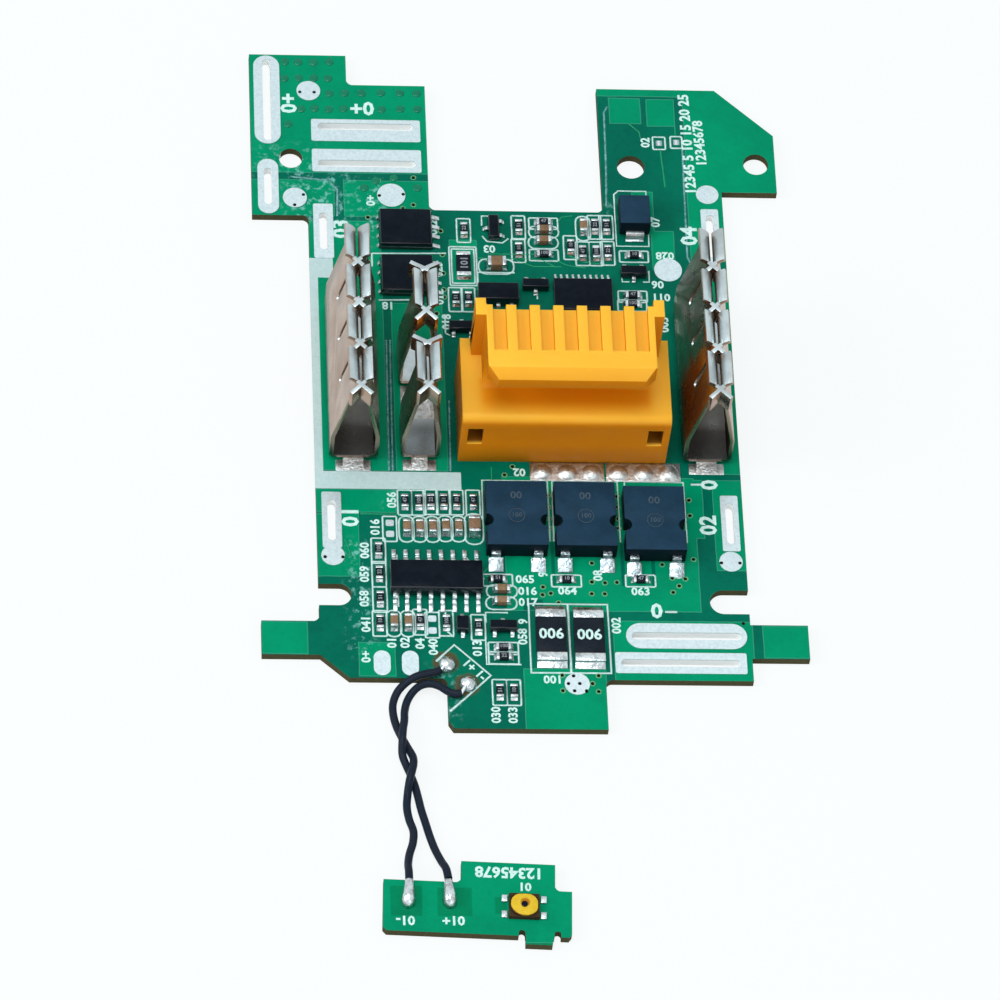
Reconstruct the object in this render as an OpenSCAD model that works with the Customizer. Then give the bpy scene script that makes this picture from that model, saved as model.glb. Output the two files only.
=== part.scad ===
// Battery management board: a main board that carries the power and signal
// terminals, a data connector and the protection circuit, and a small switch
// board on two leads. The origin is the centre of the main board's underside.
// +X points to the right wing, +Y to the rear lobes and +Z up, in millimetres.

/* [Main board] */
// Thickness of the main board and of the switch board
board_t = 1; // [1:0.1:1.6]
// Distance over the tips of the two side wings
span_w = 58.6; // [57.6:0.2:63]
// Distance from the rear lobes to the front lobe
board_l = 88.2; // [87:0.2:95]
// Radius in the inside corners of the outline
corner_r = 0.8; // [0.3:0.1:1.2]
// Width of the isolation notches in the two long edges
edge_notch_w = 2.8; // [2:0.1:3.2]
// Depth of those notches from the edge
edge_notch_l = 3.8; // [3:0.1:4.4]
// Diameter of the hole in the left rear lobe
left_hole_d = 2.6; // [2.2:0.1:3.2]
// Diameter of the hole beside the diode
middle_hole_d = 3.1; // [2.5:0.1:3.4]
// Diameter of the hole in the right rear lobe
right_hole_d = 2.8; // [2.2:0.1:3.2]
// Diameter of a plated via
via_d = 0.4; // [0.3:0.05:0.5]

/* [Tab pads] */
// Thickness of the tinned copper above the board
pad_t = 0.1; // [0.05:0.01:0.15]
// Width of a pad that a cell tab is welded to
tab_pad_w = 3; // [2.6:0.1:3.4]
// Width of the slot that the tab passes through
tab_slot_w = 0.9; // [0.6:0.1:1.1]
// Diameter of a round test pad
test_pad_d = 2.8; // [2:0.1:3.2]

/* [Terminals] */
// Thickness of the terminal sheet
sheet_t = 0.45; // [0.35:0.05:0.55]
// Height of the contact line above the board
contact_h = 14.3; // [12.5:0.1:16]
// Half width of the flared mouth at its edge
mouth_half_w = 1.4; // [1.25:0.05:1.6]
// Free gap between the two contact lines
contact_gap = 0.24; // [0.2:0.02:0.4]
// Height of the upright part of the side walls
knee_h = 3.9; // [3:0.1:4.6]
// Contact fingers of a power terminal
finger_count = 4; // [3:1:4]
// Height of the feet that carry a terminal above the board
foot_h = 0.6; // [0.4:0.1:0.9]

/* [Data connector] */
// Height of the base above the board
base_h = 8.1; // [7.4:0.1:8.8]
// Height of the whole connector above the board
housing_h = 15.8; // [14.8:0.1:16.8]
// Thickness of the overhanging top plate
shelf_t = 2.4; // [2:0.1:2.6]
// Number of grooves in the top plate
groove_count = 7; // [5:1:7]
// Depth of one groove
groove_h = 0.9; // [0.5:0.05:1]

/* [Packages] */
// Height of a power transistor
fet_h = 2.3; // [2:0.05:2.5]
// Height of the controller chip
controller_h = 1.55; // [1.3:0.05:1.75]
// Height of the cell monitor chip
monitor_h = 1.1; // [0.9:0.05:1.2]
// Height of the two switch chips
switch_chip_h = 1.3; // [1:0.05:1.5]
// Height of the clamp diode
clamp_h = 2.3; // [2:0.05:2.5]
// Height of the regulator
regulator_h = 1.5; // [1.3:0.05:1.6]
// Height of the small transistors and of the signal diode
sot_h = 1; // [0.9:0.05:1.15]
// Height of a shunt resistor
shunt_h = 0.6; // [0.45:0.05:0.8]
// Height of a small resistor
resistor_h = 0.45; // [0.35:0.05:0.55]
// Height of a small capacitor
capacitor_h = 0.8; // [0.6:0.05:0.9]

/* [Switch board] */
// Length of the switch board
switch_board_l = 19.7; // [19.3:0.1:20.6]
// Width of the switch board's straight part
switch_board_w = 6.1; // [5.9:0.1:6.6]
// Width of the push switch from left to right
switch_w = 3.2; // [3:0.1:3.3]
// Depth of the push switch from front to rear
switch_l = 2.8; // [2.7:0.1:3]
// Travel of the push switch
switch_travel = 0.2; // [0.1:0.05:0.25]
// Turn of the switch board as it lies, in degrees
switch_turn = 2.4; // [0:0.2:6]

/* [Leads] */
// Outer diameter of each of the two leads
lead_d = 0.86; // [0.8:0.02:0.9]

/* [Hidden] */
$fn = 32;

// One overrun serves every cut
overrun = 0.5;
half_share = 0.5;
board_top = board_t;
pad_top = board_t + pad_t;

// Corners of the main board, as shares of its span and of its length
outline_shares = [[-0.5, 0.25], [-0.394, 0.25], [-0.394, -0.35], [-0.5, -0.35],
    [-0.5, -0.398], [-0.394, -0.398], [-0.342, -0.43], [-0.165, -0.43], [-0.165, -0.49],
    [-0.156, -0.5], [0.124, -0.5], [0.124, -0.43], [0.394, -0.43], [0.394, -0.398],
    [0.5, -0.398], [0.5, -0.35], [0.394, -0.35], [0.394, 0.295], [0.5, 0.295],
    [0.5, 0.384], [0.392, 0.454], [0.165, 0.454], [0.165, 0.261], [-0.165, 0.261],
    [-0.165, 0.454], [-0.315, 0.454], [-0.315, 0.5], [-0.5, 0.5]];
// Inside corners: the two place shares and the quarter turns to the empty side
fillet_shares = [[-0.165, 0.261, 0], [0.165, 0.261, 1], [-0.315, 0.454, 0],
    [-0.394, 0.25, 2], [-0.394, -0.35, 1], [0.124, -0.43, 3], [-0.165, -0.43, 2]];
// Place of the fillet's centre as a share of its radius, so that it crosses both edges
fillet_centre_share = 0.97;
// Half of the body between the wings, as a share of the span
body_half_share = 0.394;
// Isolation notches: side, place along the board, share of the width and of the depth
edge_notch_shares = [[-1, -0.312, 0.96, 0.92], [1, -0.3175, 1.07, 1.1]];
left_hole_share = [-0.425, 0.338];
middle_hole_share = [0.223, 0.332];
right_hole_share = [0.463, 0.339];

// Tab pads: place shares, pad length as a share of the board, pad width as a share of
// the pad size, slot length as a share of the pad, slot shift across it, quarter turns,
// and 1 where the pad has round ends
tab_pad_shares = [
    [-0.4676, 0.4286, 0.138, 0.97, 0.92, 0, 1, 1],
    [-0.469, 0.2937, 0.084, 0.77, 0.66, 0, 1, 1],
    [-0.2807, 0.382, 0.138, 1, 0.88, 0.18, 0, 0],
    [-0.2807, 0.335, 0.138, 1.03, 0.9, -0.13, 0, 0],
    [-0.3665, 0.2262, 0.083, 0.73, 0.68, 0, 1, 0],
    [-0.3665, -0.2046, 0.081, 0.7, 0.73, 0, 1, 0],
    [0.369, -0.204, 0.081, 0.64, 0.73, 0, 1, 0],
    [0.3677, 0.2262, 0.083, 0.66, 0.78, 0, 1, 0],
    [0.2756, -0.3673, 0.1474, 1.06, 0.91, 0, 0, 1],
    [0.2628, -0.4059, 0.16, 0.87, 0.91, 0, 0, 0]];
// Round test pads: place shares and share of the test pad diameter
test_pad_shares = [[-0.388, 0.4433, 0.95], [-0.419, 0.2766, 0.95], [-0.2363, 0.2823, 1.12],
    [0.366, 0.2903, 0.9], [0.2824, 0.1735, 1.1], [0.0708, -0.4365, 0.96]];
// Round ends that belong to two of the tab pads, given as the test pads are
tail_pad_shares = [[-0.366, -0.2562, 0.9], [0.366, -0.2596, 0.9]];
// Long bare pads in the front left part: place shares and length share of the pad size
bare_pad_shares = [[-0.2824, -0.4093, 1.03], [-0.2312, -0.4093, 1.03]];
bare_pad_w_share = 0.6;
// Empty pads of parts that aren't fitted, in chip widths
empty_pad_shares = [[-0.2602, -0.2086], [-0.2602, -0.2245], [-0.1886, -0.3458],
    [-0.1886, -0.3628]];
empty_pad_w_share = 1.1;
// Open vias beside the power parts and in the round pads
via_shares = [[-0.2592, 0.3044], [-0.1925, 0.3104], [-0.1952, 0.2684], [-0.2142, 0.2627],
    [-0.2589, 0.2815], [-0.2135, 0.284], [-0.2814, 0.2486], [-0.2828, 0.1804], [-0.1449, 0.229],
    [-0.1432, 0.1923], [-0.1427, 0.1644], [-0.1433, 0.139], [-0.1439, 0.1281], [-0.1585, 0.1031],
    [-0.1618, 0.0255], [-0.0292, -0.1235], [-0.0451, -0.1356], [0.0345, -0.1654],
    [0.0345, -0.1827], [0.0345, -0.1993], [0.0345, -0.2128], [0.1616, -0.1659], [0.1616, -0.1815],
    [0.1616, -0.1982], [0.1616, -0.212], [0.2949, -0.1698], [0.2947, -0.1925], [0.2966, -0.2558],
    [0.1089, -0.2627], [0.2382, -0.2641], [0.0167, -0.2984], [0.016, -0.3091], [0.0307, -0.3069],
    [0.0442, -0.3204], [0.106, -0.3069], [0.1304, -0.3067], [0.1314, -0.2909], [0.1527, -0.2907],
    [0.107, -0.2902], [0.2555, -0.3042], [0.2792, -0.2844], [0.2676, -0.2943], [0.2551, -0.2839],
    [0.3816, -0.3478], [0.348, -0.2615], [0.3823, -0.2615], [-0.348, -0.2585], [-0.3805, -0.2585],
    [0.0648, -0.4253], [0.0442, -0.4237], [0.0548, -0.4363], [0.0754, -0.4361], [0.099, -0.4354],
    [0.0654, -0.4464], [0.0872, -0.4463], [0.0439, -0.4459], [0.1099, -0.4461],
    [0.1102, -0.4241]];

// Terminals: place of the middle of the side walls
left_terminal_share = [-0.3242, -0.0028];
right_terminal_share = [0.331, -0.0028];
rear_signal_share = [-0.2015, 0.0198];
front_signal_share = [-0.2015, -0.089];
// What carries the blades grows with the board: foot widths with its span, and
// finger and terminal lengths with its length
power_foot_w = span_w * 0.0904;
signal_foot_w = span_w * 0.0717;
finger_pitch = board_l * 0.0607;
finger_l = board_l * 0.0465;
signal_l = board_l * 0.0533;
power_l = finger_pitch * (finger_count - 1) + finger_l;
// Bottom of the slots between the fingers, as a share of the contact height
finger_slot_share = 0.56;
finger_slot_w = sheet_t * 1.4;
// The mouth curls outwards from the contact line: its slope there and at its edge
mouth_start_angle = 64;
mouth_end_angle = 24;
mouth_steps = 5;
lead_in_l = 2;
lead_in_h = 2.3;
lead_in_angle = 45;
rear_lead_in_angle = 62;
foot_leg_share = 0.42;
solder_pad_l = 1.4;
solder_rise_share = 0.85;
power_pad_share = 0.72;
signal_pad_share = 0.86;

// Data connector
housing_share = [0.0623, -0.0565];
housing_w = span_w * 0.3857;
housing_l = board_l * 0.1202;
groove_pitch = housing_w * 0.1124;
groove_w = groove_pitch * 0.57;
upper_w_share = 0.8;
ear_w_share = 0.9;
ear_l_share = 0.205;
shelf_back_share = 0.08;
recess_l_share = 0.5;
recess_r = 1.4;
lip_r = 1;
shelf_set_back = 0.7;
shelf_chamfer = 1;
shelf_corner = 1.15;
groove_l_share = 0.63;
hole_step_share = 0.431;
socket_w = 1.65;
socket_h = 2.9;
socket_l = 2;
socket_z_share = 0.6;
solder_area_w = span_w * 0.1382;
solder_area_l = 2.4;
solder_area_gap = 0.2;
solder_area_x_share = 0.1422;
pad_clear = 0.06;
solder_hump_d = 2.2;
solder_hump_h = 0.5;
solder_hump_count = 3;

// Packages: places and heights
fet_shares = [[-0.029, -0.2085], [0.098, -0.2087], [0.2253, -0.2137]];
fet_w = span_w * 0.1118;
fet_l = board_l * 0.0924;
fet_lead_pitch = fet_w * 0.698;
fet_notch_r = 0.75;
fet_notch_share = 0.11;
fet_frame_t = 0.5;
fet_frame_reach = 0.25;
fet_lead_w = 1;
fet_lead_t = 0.5;
fet_lead_h_share = 0.5;
fet_pad_w = 1.6;
fet_pad_l = 1.5;
controller_share = [-0.1792, -0.2914];
controller_l = span_w * 0.169;
controller_w = board_l * 0.0442;
wide_pitch = controller_l * 0.1283;
monitor_share = [0.1177, 0.128];
monitor_l = span_w * 0.1109;
monitor_w = board_l * 0.0499;
fine_pitch = monitor_l * 0.1;
gull_w_share = 0.36;
gull_t = 0.2;
gull_reach = 1;
bend_share = 0.4;
fine_gull_w_share = 0.4;
fine_gull_t = 0.15;
// Solder drawn out in front of a wide chip's lead: length, height and gap before it
toe_l = 1;
toe_h = 0.3;
toe_gap = 0.12;
chip_gap = 0.1;
draft_share = 0.12;
band_t = 0.25;
switch_chip_w = span_w * 0.1015;
switch_chip_l = board_l * 0.0539;
switch_chip_shares = [[-0.2125, 0.2256], [-0.2125, 0.1553]];
switch_chip_leads_count = 4;
switch_chip_reach = 0.85;
switch_drain_reach = 0.25;
switch_lead_h = 0.45;
shunt_shares = [[0.0271, -0.3703], [0.0966, -0.3712]];
shunt_w = span_w * 0.0555;
shunt_l = board_l * 0.0726;
shunt_end_share = 0.155;
shunt_fillet_l = 0.7;
clamp_share = [0.2218, 0.2489];
clamp_w = span_w * 0.0572;
clamp_l = board_l * 0.0493;
clamp_tab_w = 2;
clamp_tab_t = 0.25;
clamp_tab_reach = 0.55;
regulator_share = [-0.0427, 0.1281];
regulator_w = span_w * 0.0768;
regulator_l = board_l * 0.0283;
regulator_lead_w = 0.45;
regulator_pitch = regulator_w / 3;
sot_w = span_w * 0.0495;
sot_l = span_w * 0.0222;
sot_lead_w = 0.42;
sot_pitch = sot_w * 0.655;
sot_reach = 0.55;
// Three-lead transistors: place shares and quarter turns
sot_shares = [[-0.0452, 0.2313, 3], [0.029, 0.1451, 0], [0.2159, 0.1667, 0],
    [-0.1126, 0.08, 2], [-0.0597, -0.3583, 2]];
diode_share = [-0.134, -0.3562];
diode_l = sot_l * 1.46;
// Small resistors: place shares and quarter turns
resistor_shares = [[0.2193, 0.1939, 0], [0.2125, 0.1327, 0], [0.2109, 0.119, 0],
    [-0.1015, 0.2302, 1], [0.0026, 0.2358, 1], [0.0009, 0.2007, 1], [0.0503, 0.2426, 0],
    [0.0486, 0.1939, 0], [0.1476, 0.2381, 1], [0.1698, 0.2381, 1], [0.0998, 0.2063, 1],
    [0.122, 0.1973, 1], [0.1476, 0.1973, 1], [0.1698, 0.1984, 1], [-0.122, 0.1247, 1],
    [-0.0981, 0.1247, 1], [-0.2312, -0.178, 1], [-0.2056, -0.178, 1], [-0.1834, -0.177, 1],
    [-0.1596, -0.177, 1], [-0.1357, -0.177, 1], [-0.105, -0.177, 1], [-0.2824, -0.2483, 1],
    [-0.2824, -0.2823, 1], [-0.2824, -0.3186, 1], [-0.2841, -0.3526, 1],
    [-0.2107, -0.3503, 1], [-0.163, -0.3515, 1], [-0.1049, -0.3571, 1],
    [-0.0657, -0.2891, 0], [0.0606, -0.2891, 0], [0.1971, -0.288, 0],
    [-0.0606, -0.3866, 0], [-0.0606, -0.4002, 0], [-0.0708, -0.449, 1],
    [-0.0452, -0.449, 1]];
// Small capacitors: place shares and quarter turns
capacitor_shares = [[0.0503, 0.2296, 0], [0.0486, 0.2132, 0], [0.1254, 0.2358, 1],
    [-0.2295, -0.2166, 1], [-0.2056, -0.2166, 1], [-0.1818, -0.2166, 1],
    [-0.1579, -0.2155, 1], [-0.134, -0.2155, 1], [-0.2585, -0.3526, 1],
    [-0.2329, -0.3526, 1], [-0.0589, -0.305, 0], [-0.0606, -0.322, 0]];
chip_l = span_w * 0.0273;
chip_w = chip_l / 2;
chip_end_share = 0.2;
chip_pad_reach = 0.28;
large_resistor_share = [-0.105, 0.1757];
large_resistor_l = chip_l * 2;
large_resistor_w = chip_w * 2;
large_resistor_h = 0.55;
large_end_share = 0.15;
// Two larger capacitors: place shares and quarter turns
large_capacitor_shares = [[-0.0427, 0.1757, 0], [-0.105, -0.2155, 1]];
large_capacitor_l = chip_l * 1.25;
large_capacitor_w = chip_w * 1.56;
large_capacitor_h = 1.15;

// Switch board: its rear left corner from the middle of the main board, and its
// outline in shares of its length and of its width
switch_corner_share = [-0.2925, -0.7086];
switch_outline_shares = [[0, -0.93], [0.02, -1], [0.756, -1], [0.756, -1.16],
    [0.898, -1.16], [0.904, -1], [0.985, -1], [1, -0.93], [1, -0.095], [0.91, -0.095],
    [0.91, 0], [0.91, 0.42], [0.411, 0.42], [0.411, 0], [0, 0]];
switch_fillet_shares = [[0.411, 0, 1], [0.91, -0.095, 0]];
switch_fillet_r = 0.7;
relief_shares = [0.736, 0.925];
relief_w = 0.7;
relief_l = 0.7;
switch_share = [0.745, -0.45];
base_plate_h = 0.25;
frame_h = 0.6;
frame_wall = 0.15;
button_w_share = 0.88;
button_l_share = 0.9;
oval_share = 0.42;
button_clear = 0.03;
button_h = 0.3;
nub_d = 0.7;
nub_h = 0.1;
dome_t = 0.05;
dome_share = 0.8;
leg_w = 0.6;
leg_l = 0.8;
leg_h = 0.25;
leg_step_share = 0.64;
leg_row_share = 0.34;
switch_solder_shares = [[0.131, -0.31], [0.354, -0.29]];
switch_solder_d = 1.5;
switch_solder_h = 0.7;
main_solder_shares = [[-0.165, -0.411], [-0.1284, -0.4382]];
main_solder_d = 2;
main_solder_h = 0.9;
solder_tail_share = 0.5;

// Routes of the two leads, chosen by hand along the way they lie. The third number is
// the height of a lead's underside over the ground, in board thicknesses.
lead_a_route = [[-10.4, -37.2, 1.12], [-11, -37.5, 1.12], [-11.9, -37.7, 1.12],
    [-13, -38, 1.04], [-14.1, -38.6, 0.7], [-15, -39.5, 0.3], [-15.5, -40.8, 0.05],
    [-15.5, -42.2, 0], [-15.2, -43.6, 0], [-14.7, -44.9, 0], [-14.1, -46.2, 0],
    [-13.6, -47.5, 0.3], [-13.6, -48.6, 0.8], [-13.8, -49.6, 1], [-14.1, -50.8, 0.8],
    [-14.3, -52.1, 0.2], [-14.4, -53.5, 0], [-14.2, -55, 0], [-13.8, -56.4, 0],
    [-13.9, -57.8, 0], [-14.3, -59.2, 0], [-14.5, -60.6, 0.4], [-14.5, -61.8, 0.95],
    [-14.5, -62.9, 1.03]];
lead_b_route = [[-8.3, -40.05, 1.12], [-8.9, -40.17, 1.12], [-9.7, -39.87, 1.12],
    [-10.6, -39.2, 1.08], [-11.6, -38.8, 0.9], [-12.6, -38.9, 0.6], [-13.4, -39.5, 0.25],
    [-14, -40.5, 0.02], [-14.3, -41.8, 0.15], [-14.4, -43.2, 0.7], [-14.6, -44.5, 1],
    [-14.7, -45.8, 0.9], [-14.7, -47.2, 0.25], [-14.3, -48.4, 0], [-13.9, -49.5, 0],
    [-13.5, -50.8, 0], [-13.2, -52.2, 0], [-12.9, -53.8, 0], [-12.5, -55.4, 0],
    [-12.1, -57, 0], [-11.6, -58.6, 0], [-11, -60.2, 0.3], [-10.6, -61.4, 0.9],
    [-10.4, -62.7, 1.03]];
// Span and length of the board that the routes were read with
route_span = 58.6;
route_length = 88.2;
lead_sides = 8;
lead_steps = 3;

// A place on the main board from its two shares
function place(s) = [s[0] * span_w, s[1] * board_l];
// A place on the switch board from its two shares
function switch_place(s) = [s[0] * switch_board_l, s[1] * switch_board_w];

// A rectangle with quarter-round corners
module rounded(size, r) {
    square([size[0] - 2 * r, size[1]], center = true);
    square([size[0], size[1] - 2 * r], center = true);
    for (x = [-1, 1], y = [-1, 1])
        translate([x * (size[0] / 2 - r), y * (size[1] / 2 - r)]) circle(r);
}

// A bar along X with two half-round ends
module stadium(length, width) {
    square([length - width, width], center = true);
    for (x = [-1, 1]) translate([x * (length - width) / 2, 0]) circle(d = width);
}

// The curved web that fills an inside corner
module inside_fillet(r) {
    difference() {
        translate([-overrun, -overrun]) square(r + overrun);
        translate([r, r] * fillet_centre_share) circle(r);
    }
}

// A bar along Y with the given half profile, mirrored about the YZ plane
module along_y(length, profile) {
    translate([0, length / 2, 0]) rotate([90, 0, 0]) linear_extrude(length)
        for (side = [0, 1]) mirror([side, 0]) polygon(profile);
}

// A round dome of solder with a flat foot
module solder_dome(d, h) {
    ball_r = (d * d / 4 + h * h) / (2 * h);
    intersection() {
        translate([0, 0, h - ball_r]) sphere(ball_r);
        cylinder(h = h + overrun, d = d + overrun);
    }
}

module main_board() {
    color("seagreen") linear_extrude(board_t) difference() {
        union() {
            polygon([for (s = outline_shares) place(s)]);
            for (s = fillet_shares) translate(place(s)) rotate(90 * s[2]) inside_fillet(corner_r);
        }
        for (s = edge_notch_shares) translate([s[0] * body_half_share * span_w, s[1] * board_l])
            stadium(2 * edge_notch_l * s[3], edge_notch_w * s[2]);
        tab_slots();
        translate(place(left_hole_share)) circle(d = left_hole_d);
        translate(place(middle_hole_share)) circle(d = middle_hole_d);
        translate(place(right_hole_share)) circle(d = right_hole_d);
        vias();
    }
}

module vias() {
    for (s = via_shares) translate(place(s)) circle(d = via_d, $fn = 16);
}

// The slot of one row of the tab pad table
module tab_slot(s) {
    translate([0, s[5] * tab_pad_w]) stadium(s[2] * board_l * s[4], tab_slot_w);
}

module tab_slots() {
    for (s = tab_pad_shares) translate(place(s)) rotate(90 * s[6]) tab_slot(s);
}

module tab_pads() {
    color("silver") translate([0, 0, board_top]) linear_extrude(pad_t) difference() {
        union() {
            for (s = tab_pad_shares) translate(place(s)) rotate(90 * s[6]) {
                pad = [s[2] * board_l, s[3] * tab_pad_w];
                if (s[7] > 0) stadium(pad[0], pad[1]);
                else rounded(pad, tab_slot_w / 4);
            }
            for (s = tail_pad_shares) translate(place(s)) circle(d = s[2] * test_pad_d);
        }
        tab_slots();
        vias();
    }
}

module test_pads() {
    color("silver") translate([0, 0, board_top]) linear_extrude(pad_t) difference() {
        union() {
            for (s = test_pad_shares) translate(place(s)) circle(d = s[2] * test_pad_d);
            for (s = bare_pad_shares) translate(place(s)) rotate(90)
                stadium(s[2] * tab_pad_w, bare_pad_w_share * tab_pad_w);
            for (s = empty_pad_shares) translate(place(s))
                rounded([empty_pad_w_share * chip_w, chip_w], chip_w / 4);
        }
        tab_slots();
        vias();
    }
}

// Points of an arc from one slope to another, about a centre, as a mouth curls
function curl(centre, r, from, to) = [for (i = [0 : mouth_steps])
    let (slope = from + (to - from) * i / mouth_steps)
    centre + r * [-sin(slope), cos(slope)]];

// Half section of a fork terminal, from the given foot width
function fork_profile(foot_w) =
    let (half = foot_w / 2, bend = sheet_t, from = mouth_start_angle, to = mouth_end_angle,
        r = (mouth_half_w - contact_gap / 2 - sheet_t * sin(to)) / (sin(from) - sin(to)),
        centre = [contact_gap / 2, contact_h] + r * [sin(from), -cos(from)])
    concat([[0, 0], [half - bend, 0], [half, bend], [half, knee_h]],
        curl(centre, r - sheet_t, from, to), curl(centre, r, to, from),
        [[half - sheet_t, knee_h], [half - sheet_t, sheet_t], [0, sheet_t]]);

// One lead-in tongue pair, bent outwards at the end of a finger
module lead_in(length, angle) {
    for (side = [0, 1]) mirror([side, 0, 0])
        translate([contact_gap / 2, 0, contact_h - lead_in_h + sheet_t]) rotate(-angle)
            translate([0, -length, 0]) cube([sheet_t, length + sheet_t / 2, lead_in_h]);
}

// A fork terminal whose fingers start at the near end of its walls
module fork(foot_w, length, fingers, pitch, far_flare) {
    gap = pitch - finger_l;
    translate([0, 0, board_top + foot_h]) difference() {
        union() {
            along_y(length, fork_profile(foot_w));
            translate([0, -length / 2, 0]) lead_in(lead_in_l, lead_in_angle);
            if (far_flare) translate([0, length / 2, 0]) mirror([0, 1, 0])
                lead_in(lead_in_l, rear_lead_in_angle);
        }
        for (i = [1 : 1 : fingers - 1]) translate([0, i * pitch - gap / 2 - length / 2, 0]) {
            translate([-foot_w, 0, contact_h * finger_slot_share]) {
                translate([0, -finger_slot_w / 2, 0]) cube([2 * foot_w, finger_slot_w, contact_h]);
                rotate([0, 90, 0]) cylinder(h = 2 * foot_w, d = finger_slot_w);
            }
            translate([-foot_w, -gap / 2, contact_h - sheet_t])
                cube([2 * foot_w, gap, contact_h]);
        }
    }
    for (i = [1 : 1 : fingers - 1])
        translate([0, i * pitch - length / 2, board_top + foot_h]) lead_in(gap, lead_in_angle);
    for (end = [-1, 1])
        translate([0, end * (length / 2 - sheet_t / 2), board_top + (foot_h + sheet_t / 2) / 2])
            cube([foot_leg_share * foot_w, sheet_t, foot_h + sheet_t / 2], center = true);
}

module power_terminal(share) {
    color("lightgray") translate(place(share))
        fork(power_foot_w, power_l, finger_count, finger_pitch, false);
}

module power_terminal_left() { power_terminal(left_terminal_share); }
module power_terminal_right() { power_terminal(right_terminal_share); }

module signal_terminal(share) {
    color("lightgray") translate(place(share)) fork(signal_foot_w, signal_l, 1, signal_l, true);
}

module signal_terminal_rear() { signal_terminal(rear_signal_share); }
module signal_terminal_front() { signal_terminal(front_signal_share); }

// Tinned pad in front of a terminal's foot, with solder drawn up to the leg
module foot_solder(width, leg_w) {
    translate([-width / 2, -solder_pad_l, 0]) cube([width, solder_pad_l, pad_t]);
    translate([leg_w / 2, 0, 0]) rotate([90, 0, -90]) linear_extrude(leg_w)
        polygon([[0, 0], [solder_pad_l - pad_t, 0], [solder_pad_l - pad_t, pad_t],
            [0, foot_h * solder_rise_share]]);
}

module terminal_solder() {
    color("silver") translate([0, 0, board_top]) {
        for (share = [left_terminal_share, right_terminal_share], turn = [0, 180])
            translate(place(share)) rotate(turn) translate([0, -power_l / 2, 0])
                foot_solder(power_pad_share * power_foot_w, foot_leg_share * power_foot_w);
        for (share = [rear_signal_share, front_signal_share], turn = [0, 180])
            translate(place(share)) rotate(turn) translate([0, -signal_l / 2, 0])
                foot_solder(signal_pad_share * signal_foot_w, foot_leg_share * signal_foot_w);
        // The pad between the two signal terminals runs from one to the other
        translate((place(rear_signal_share) + place(front_signal_share)) / 2)
            translate([0, 0, pad_t / 2])
                cube([signal_pad_share * signal_foot_w, norm(place(rear_signal_share)
                    - place(front_signal_share)) - signal_l, pad_t], center = true);
    }
}

module connector_housing() {
    upper_w = upper_w_share * housing_w;
    ear_l = ear_l_share * housing_l;
    shelf_l = housing_l * (1 - shelf_back_share);
    recess_l = recess_l_share * housing_l;
    socket_x = hole_step_share * housing_w;
    shelf_y = shelf_set_back - housing_l / 2;
    color("gold") translate([0, 0, board_top]) translate(place(housing_share)) difference() {
        union() {
            translate([-housing_w / 2, -housing_l / 2, 0]) cube([housing_w, housing_l, base_h]);
            // Upper body, hollowed from the front under the top plate
            translate([-upper_w / 2, 0, 0]) rotate([90, 0, 90]) linear_extrude(upper_w)
                difference() {
                    translate([-housing_l / 2, 0]) square([shelf_l, housing_h]);
                    translate([-housing_l / 2 - overrun, base_h])
                        square([recess_l - recess_r + overrun, housing_h - base_h - shelf_t]);
                    translate([-housing_l / 2, base_h + recess_r])
                        square([recess_l, housing_h - base_h - shelf_t - 2 * recess_r]);
                    for (z = [base_h + recess_r, housing_h - shelf_t - recess_r])
                        translate([recess_l - recess_r - housing_l / 2, z]) circle(recess_r);
                    translate([-housing_l / 2 - overrun, base_h])
                        square([shelf_set_back + overrun, housing_h]);
                    translate([shelf_y, housing_h - shelf_chamfer]) rotate(45)
                        square(2 * shelf_chamfer);
                }
            // Rear wall with an ear at each side
            translate([-ear_w_share * housing_w / 2, housing_l / 2 - ear_l, 0])
                cube([ear_w_share * housing_w, ear_l, housing_h]);
        }
        // The base's front edge is rounded over its whole width
        translate([-housing_w / 2 - overrun, -housing_l / 2, base_h]) rotate([90, 0, 90])
            linear_extrude(housing_w + 2 * overrun) rotate(-90) difference() {
                translate([-overrun, -overrun]) square(lip_r + overrun);
                translate([lip_r, lip_r]) circle(lip_r);
            }
        // The top plate's front corners are cut off
        for (side = [0, 1]) mirror([side, 0, 0])
            translate([upper_w / 2 - shelf_corner, shelf_y, base_h]) rotate(-45)
                cube([2 * shelf_corner, 2 * shelf_corner, housing_h]);
        // Grooves, open to the rear
        for (i = [0 : groove_count - 1])
            translate([(i - (groove_count - 1) / 2) * groove_pitch - groove_w / 2,
                housing_l / 2 - groove_l_share * housing_l, housing_h - groove_h])
                cube([groove_w, housing_l, housing_h]);
        // The rear wall steps forward between the ears
        translate([-upper_w / 2, housing_l / 2 - shelf_back_share * housing_l, base_h])
            cube([upper_w, housing_l, housing_h]);
        // Square core holes in the front face
        for (side = [-1, 1])
            translate([side * socket_x - socket_w / 2, -housing_l / 2 - overrun,
                base_h * socket_z_share - socket_h / 2])
                cube([socket_w, socket_l + overrun, socket_h]);
    }
}

module connector_solder() {
    front = housing_share[1] * board_l - housing_l / 2;
    color("silver") translate([solder_area_x_share * span_w,
        front - pad_clear - solder_area_l / 2, board_top])
        for (side = [-1, 1]) translate([side * (solder_area_w + solder_area_gap) / 2, 0, 0]) {
            translate([-solder_area_w / 2, -solder_area_l / 2, 0])
                cube([solder_area_w, solder_area_l, pad_t]);
            for (i = [0 : solder_hump_count - 1])
                translate([(i + half_share - solder_hump_count / 2)
                    * solder_area_w / solder_hump_count,
                    solder_hump_d / 2 - solder_area_l / 2, pad_t / 2])
                    solder_dome(solder_hump_d, solder_hump_h);
        }
}

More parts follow.
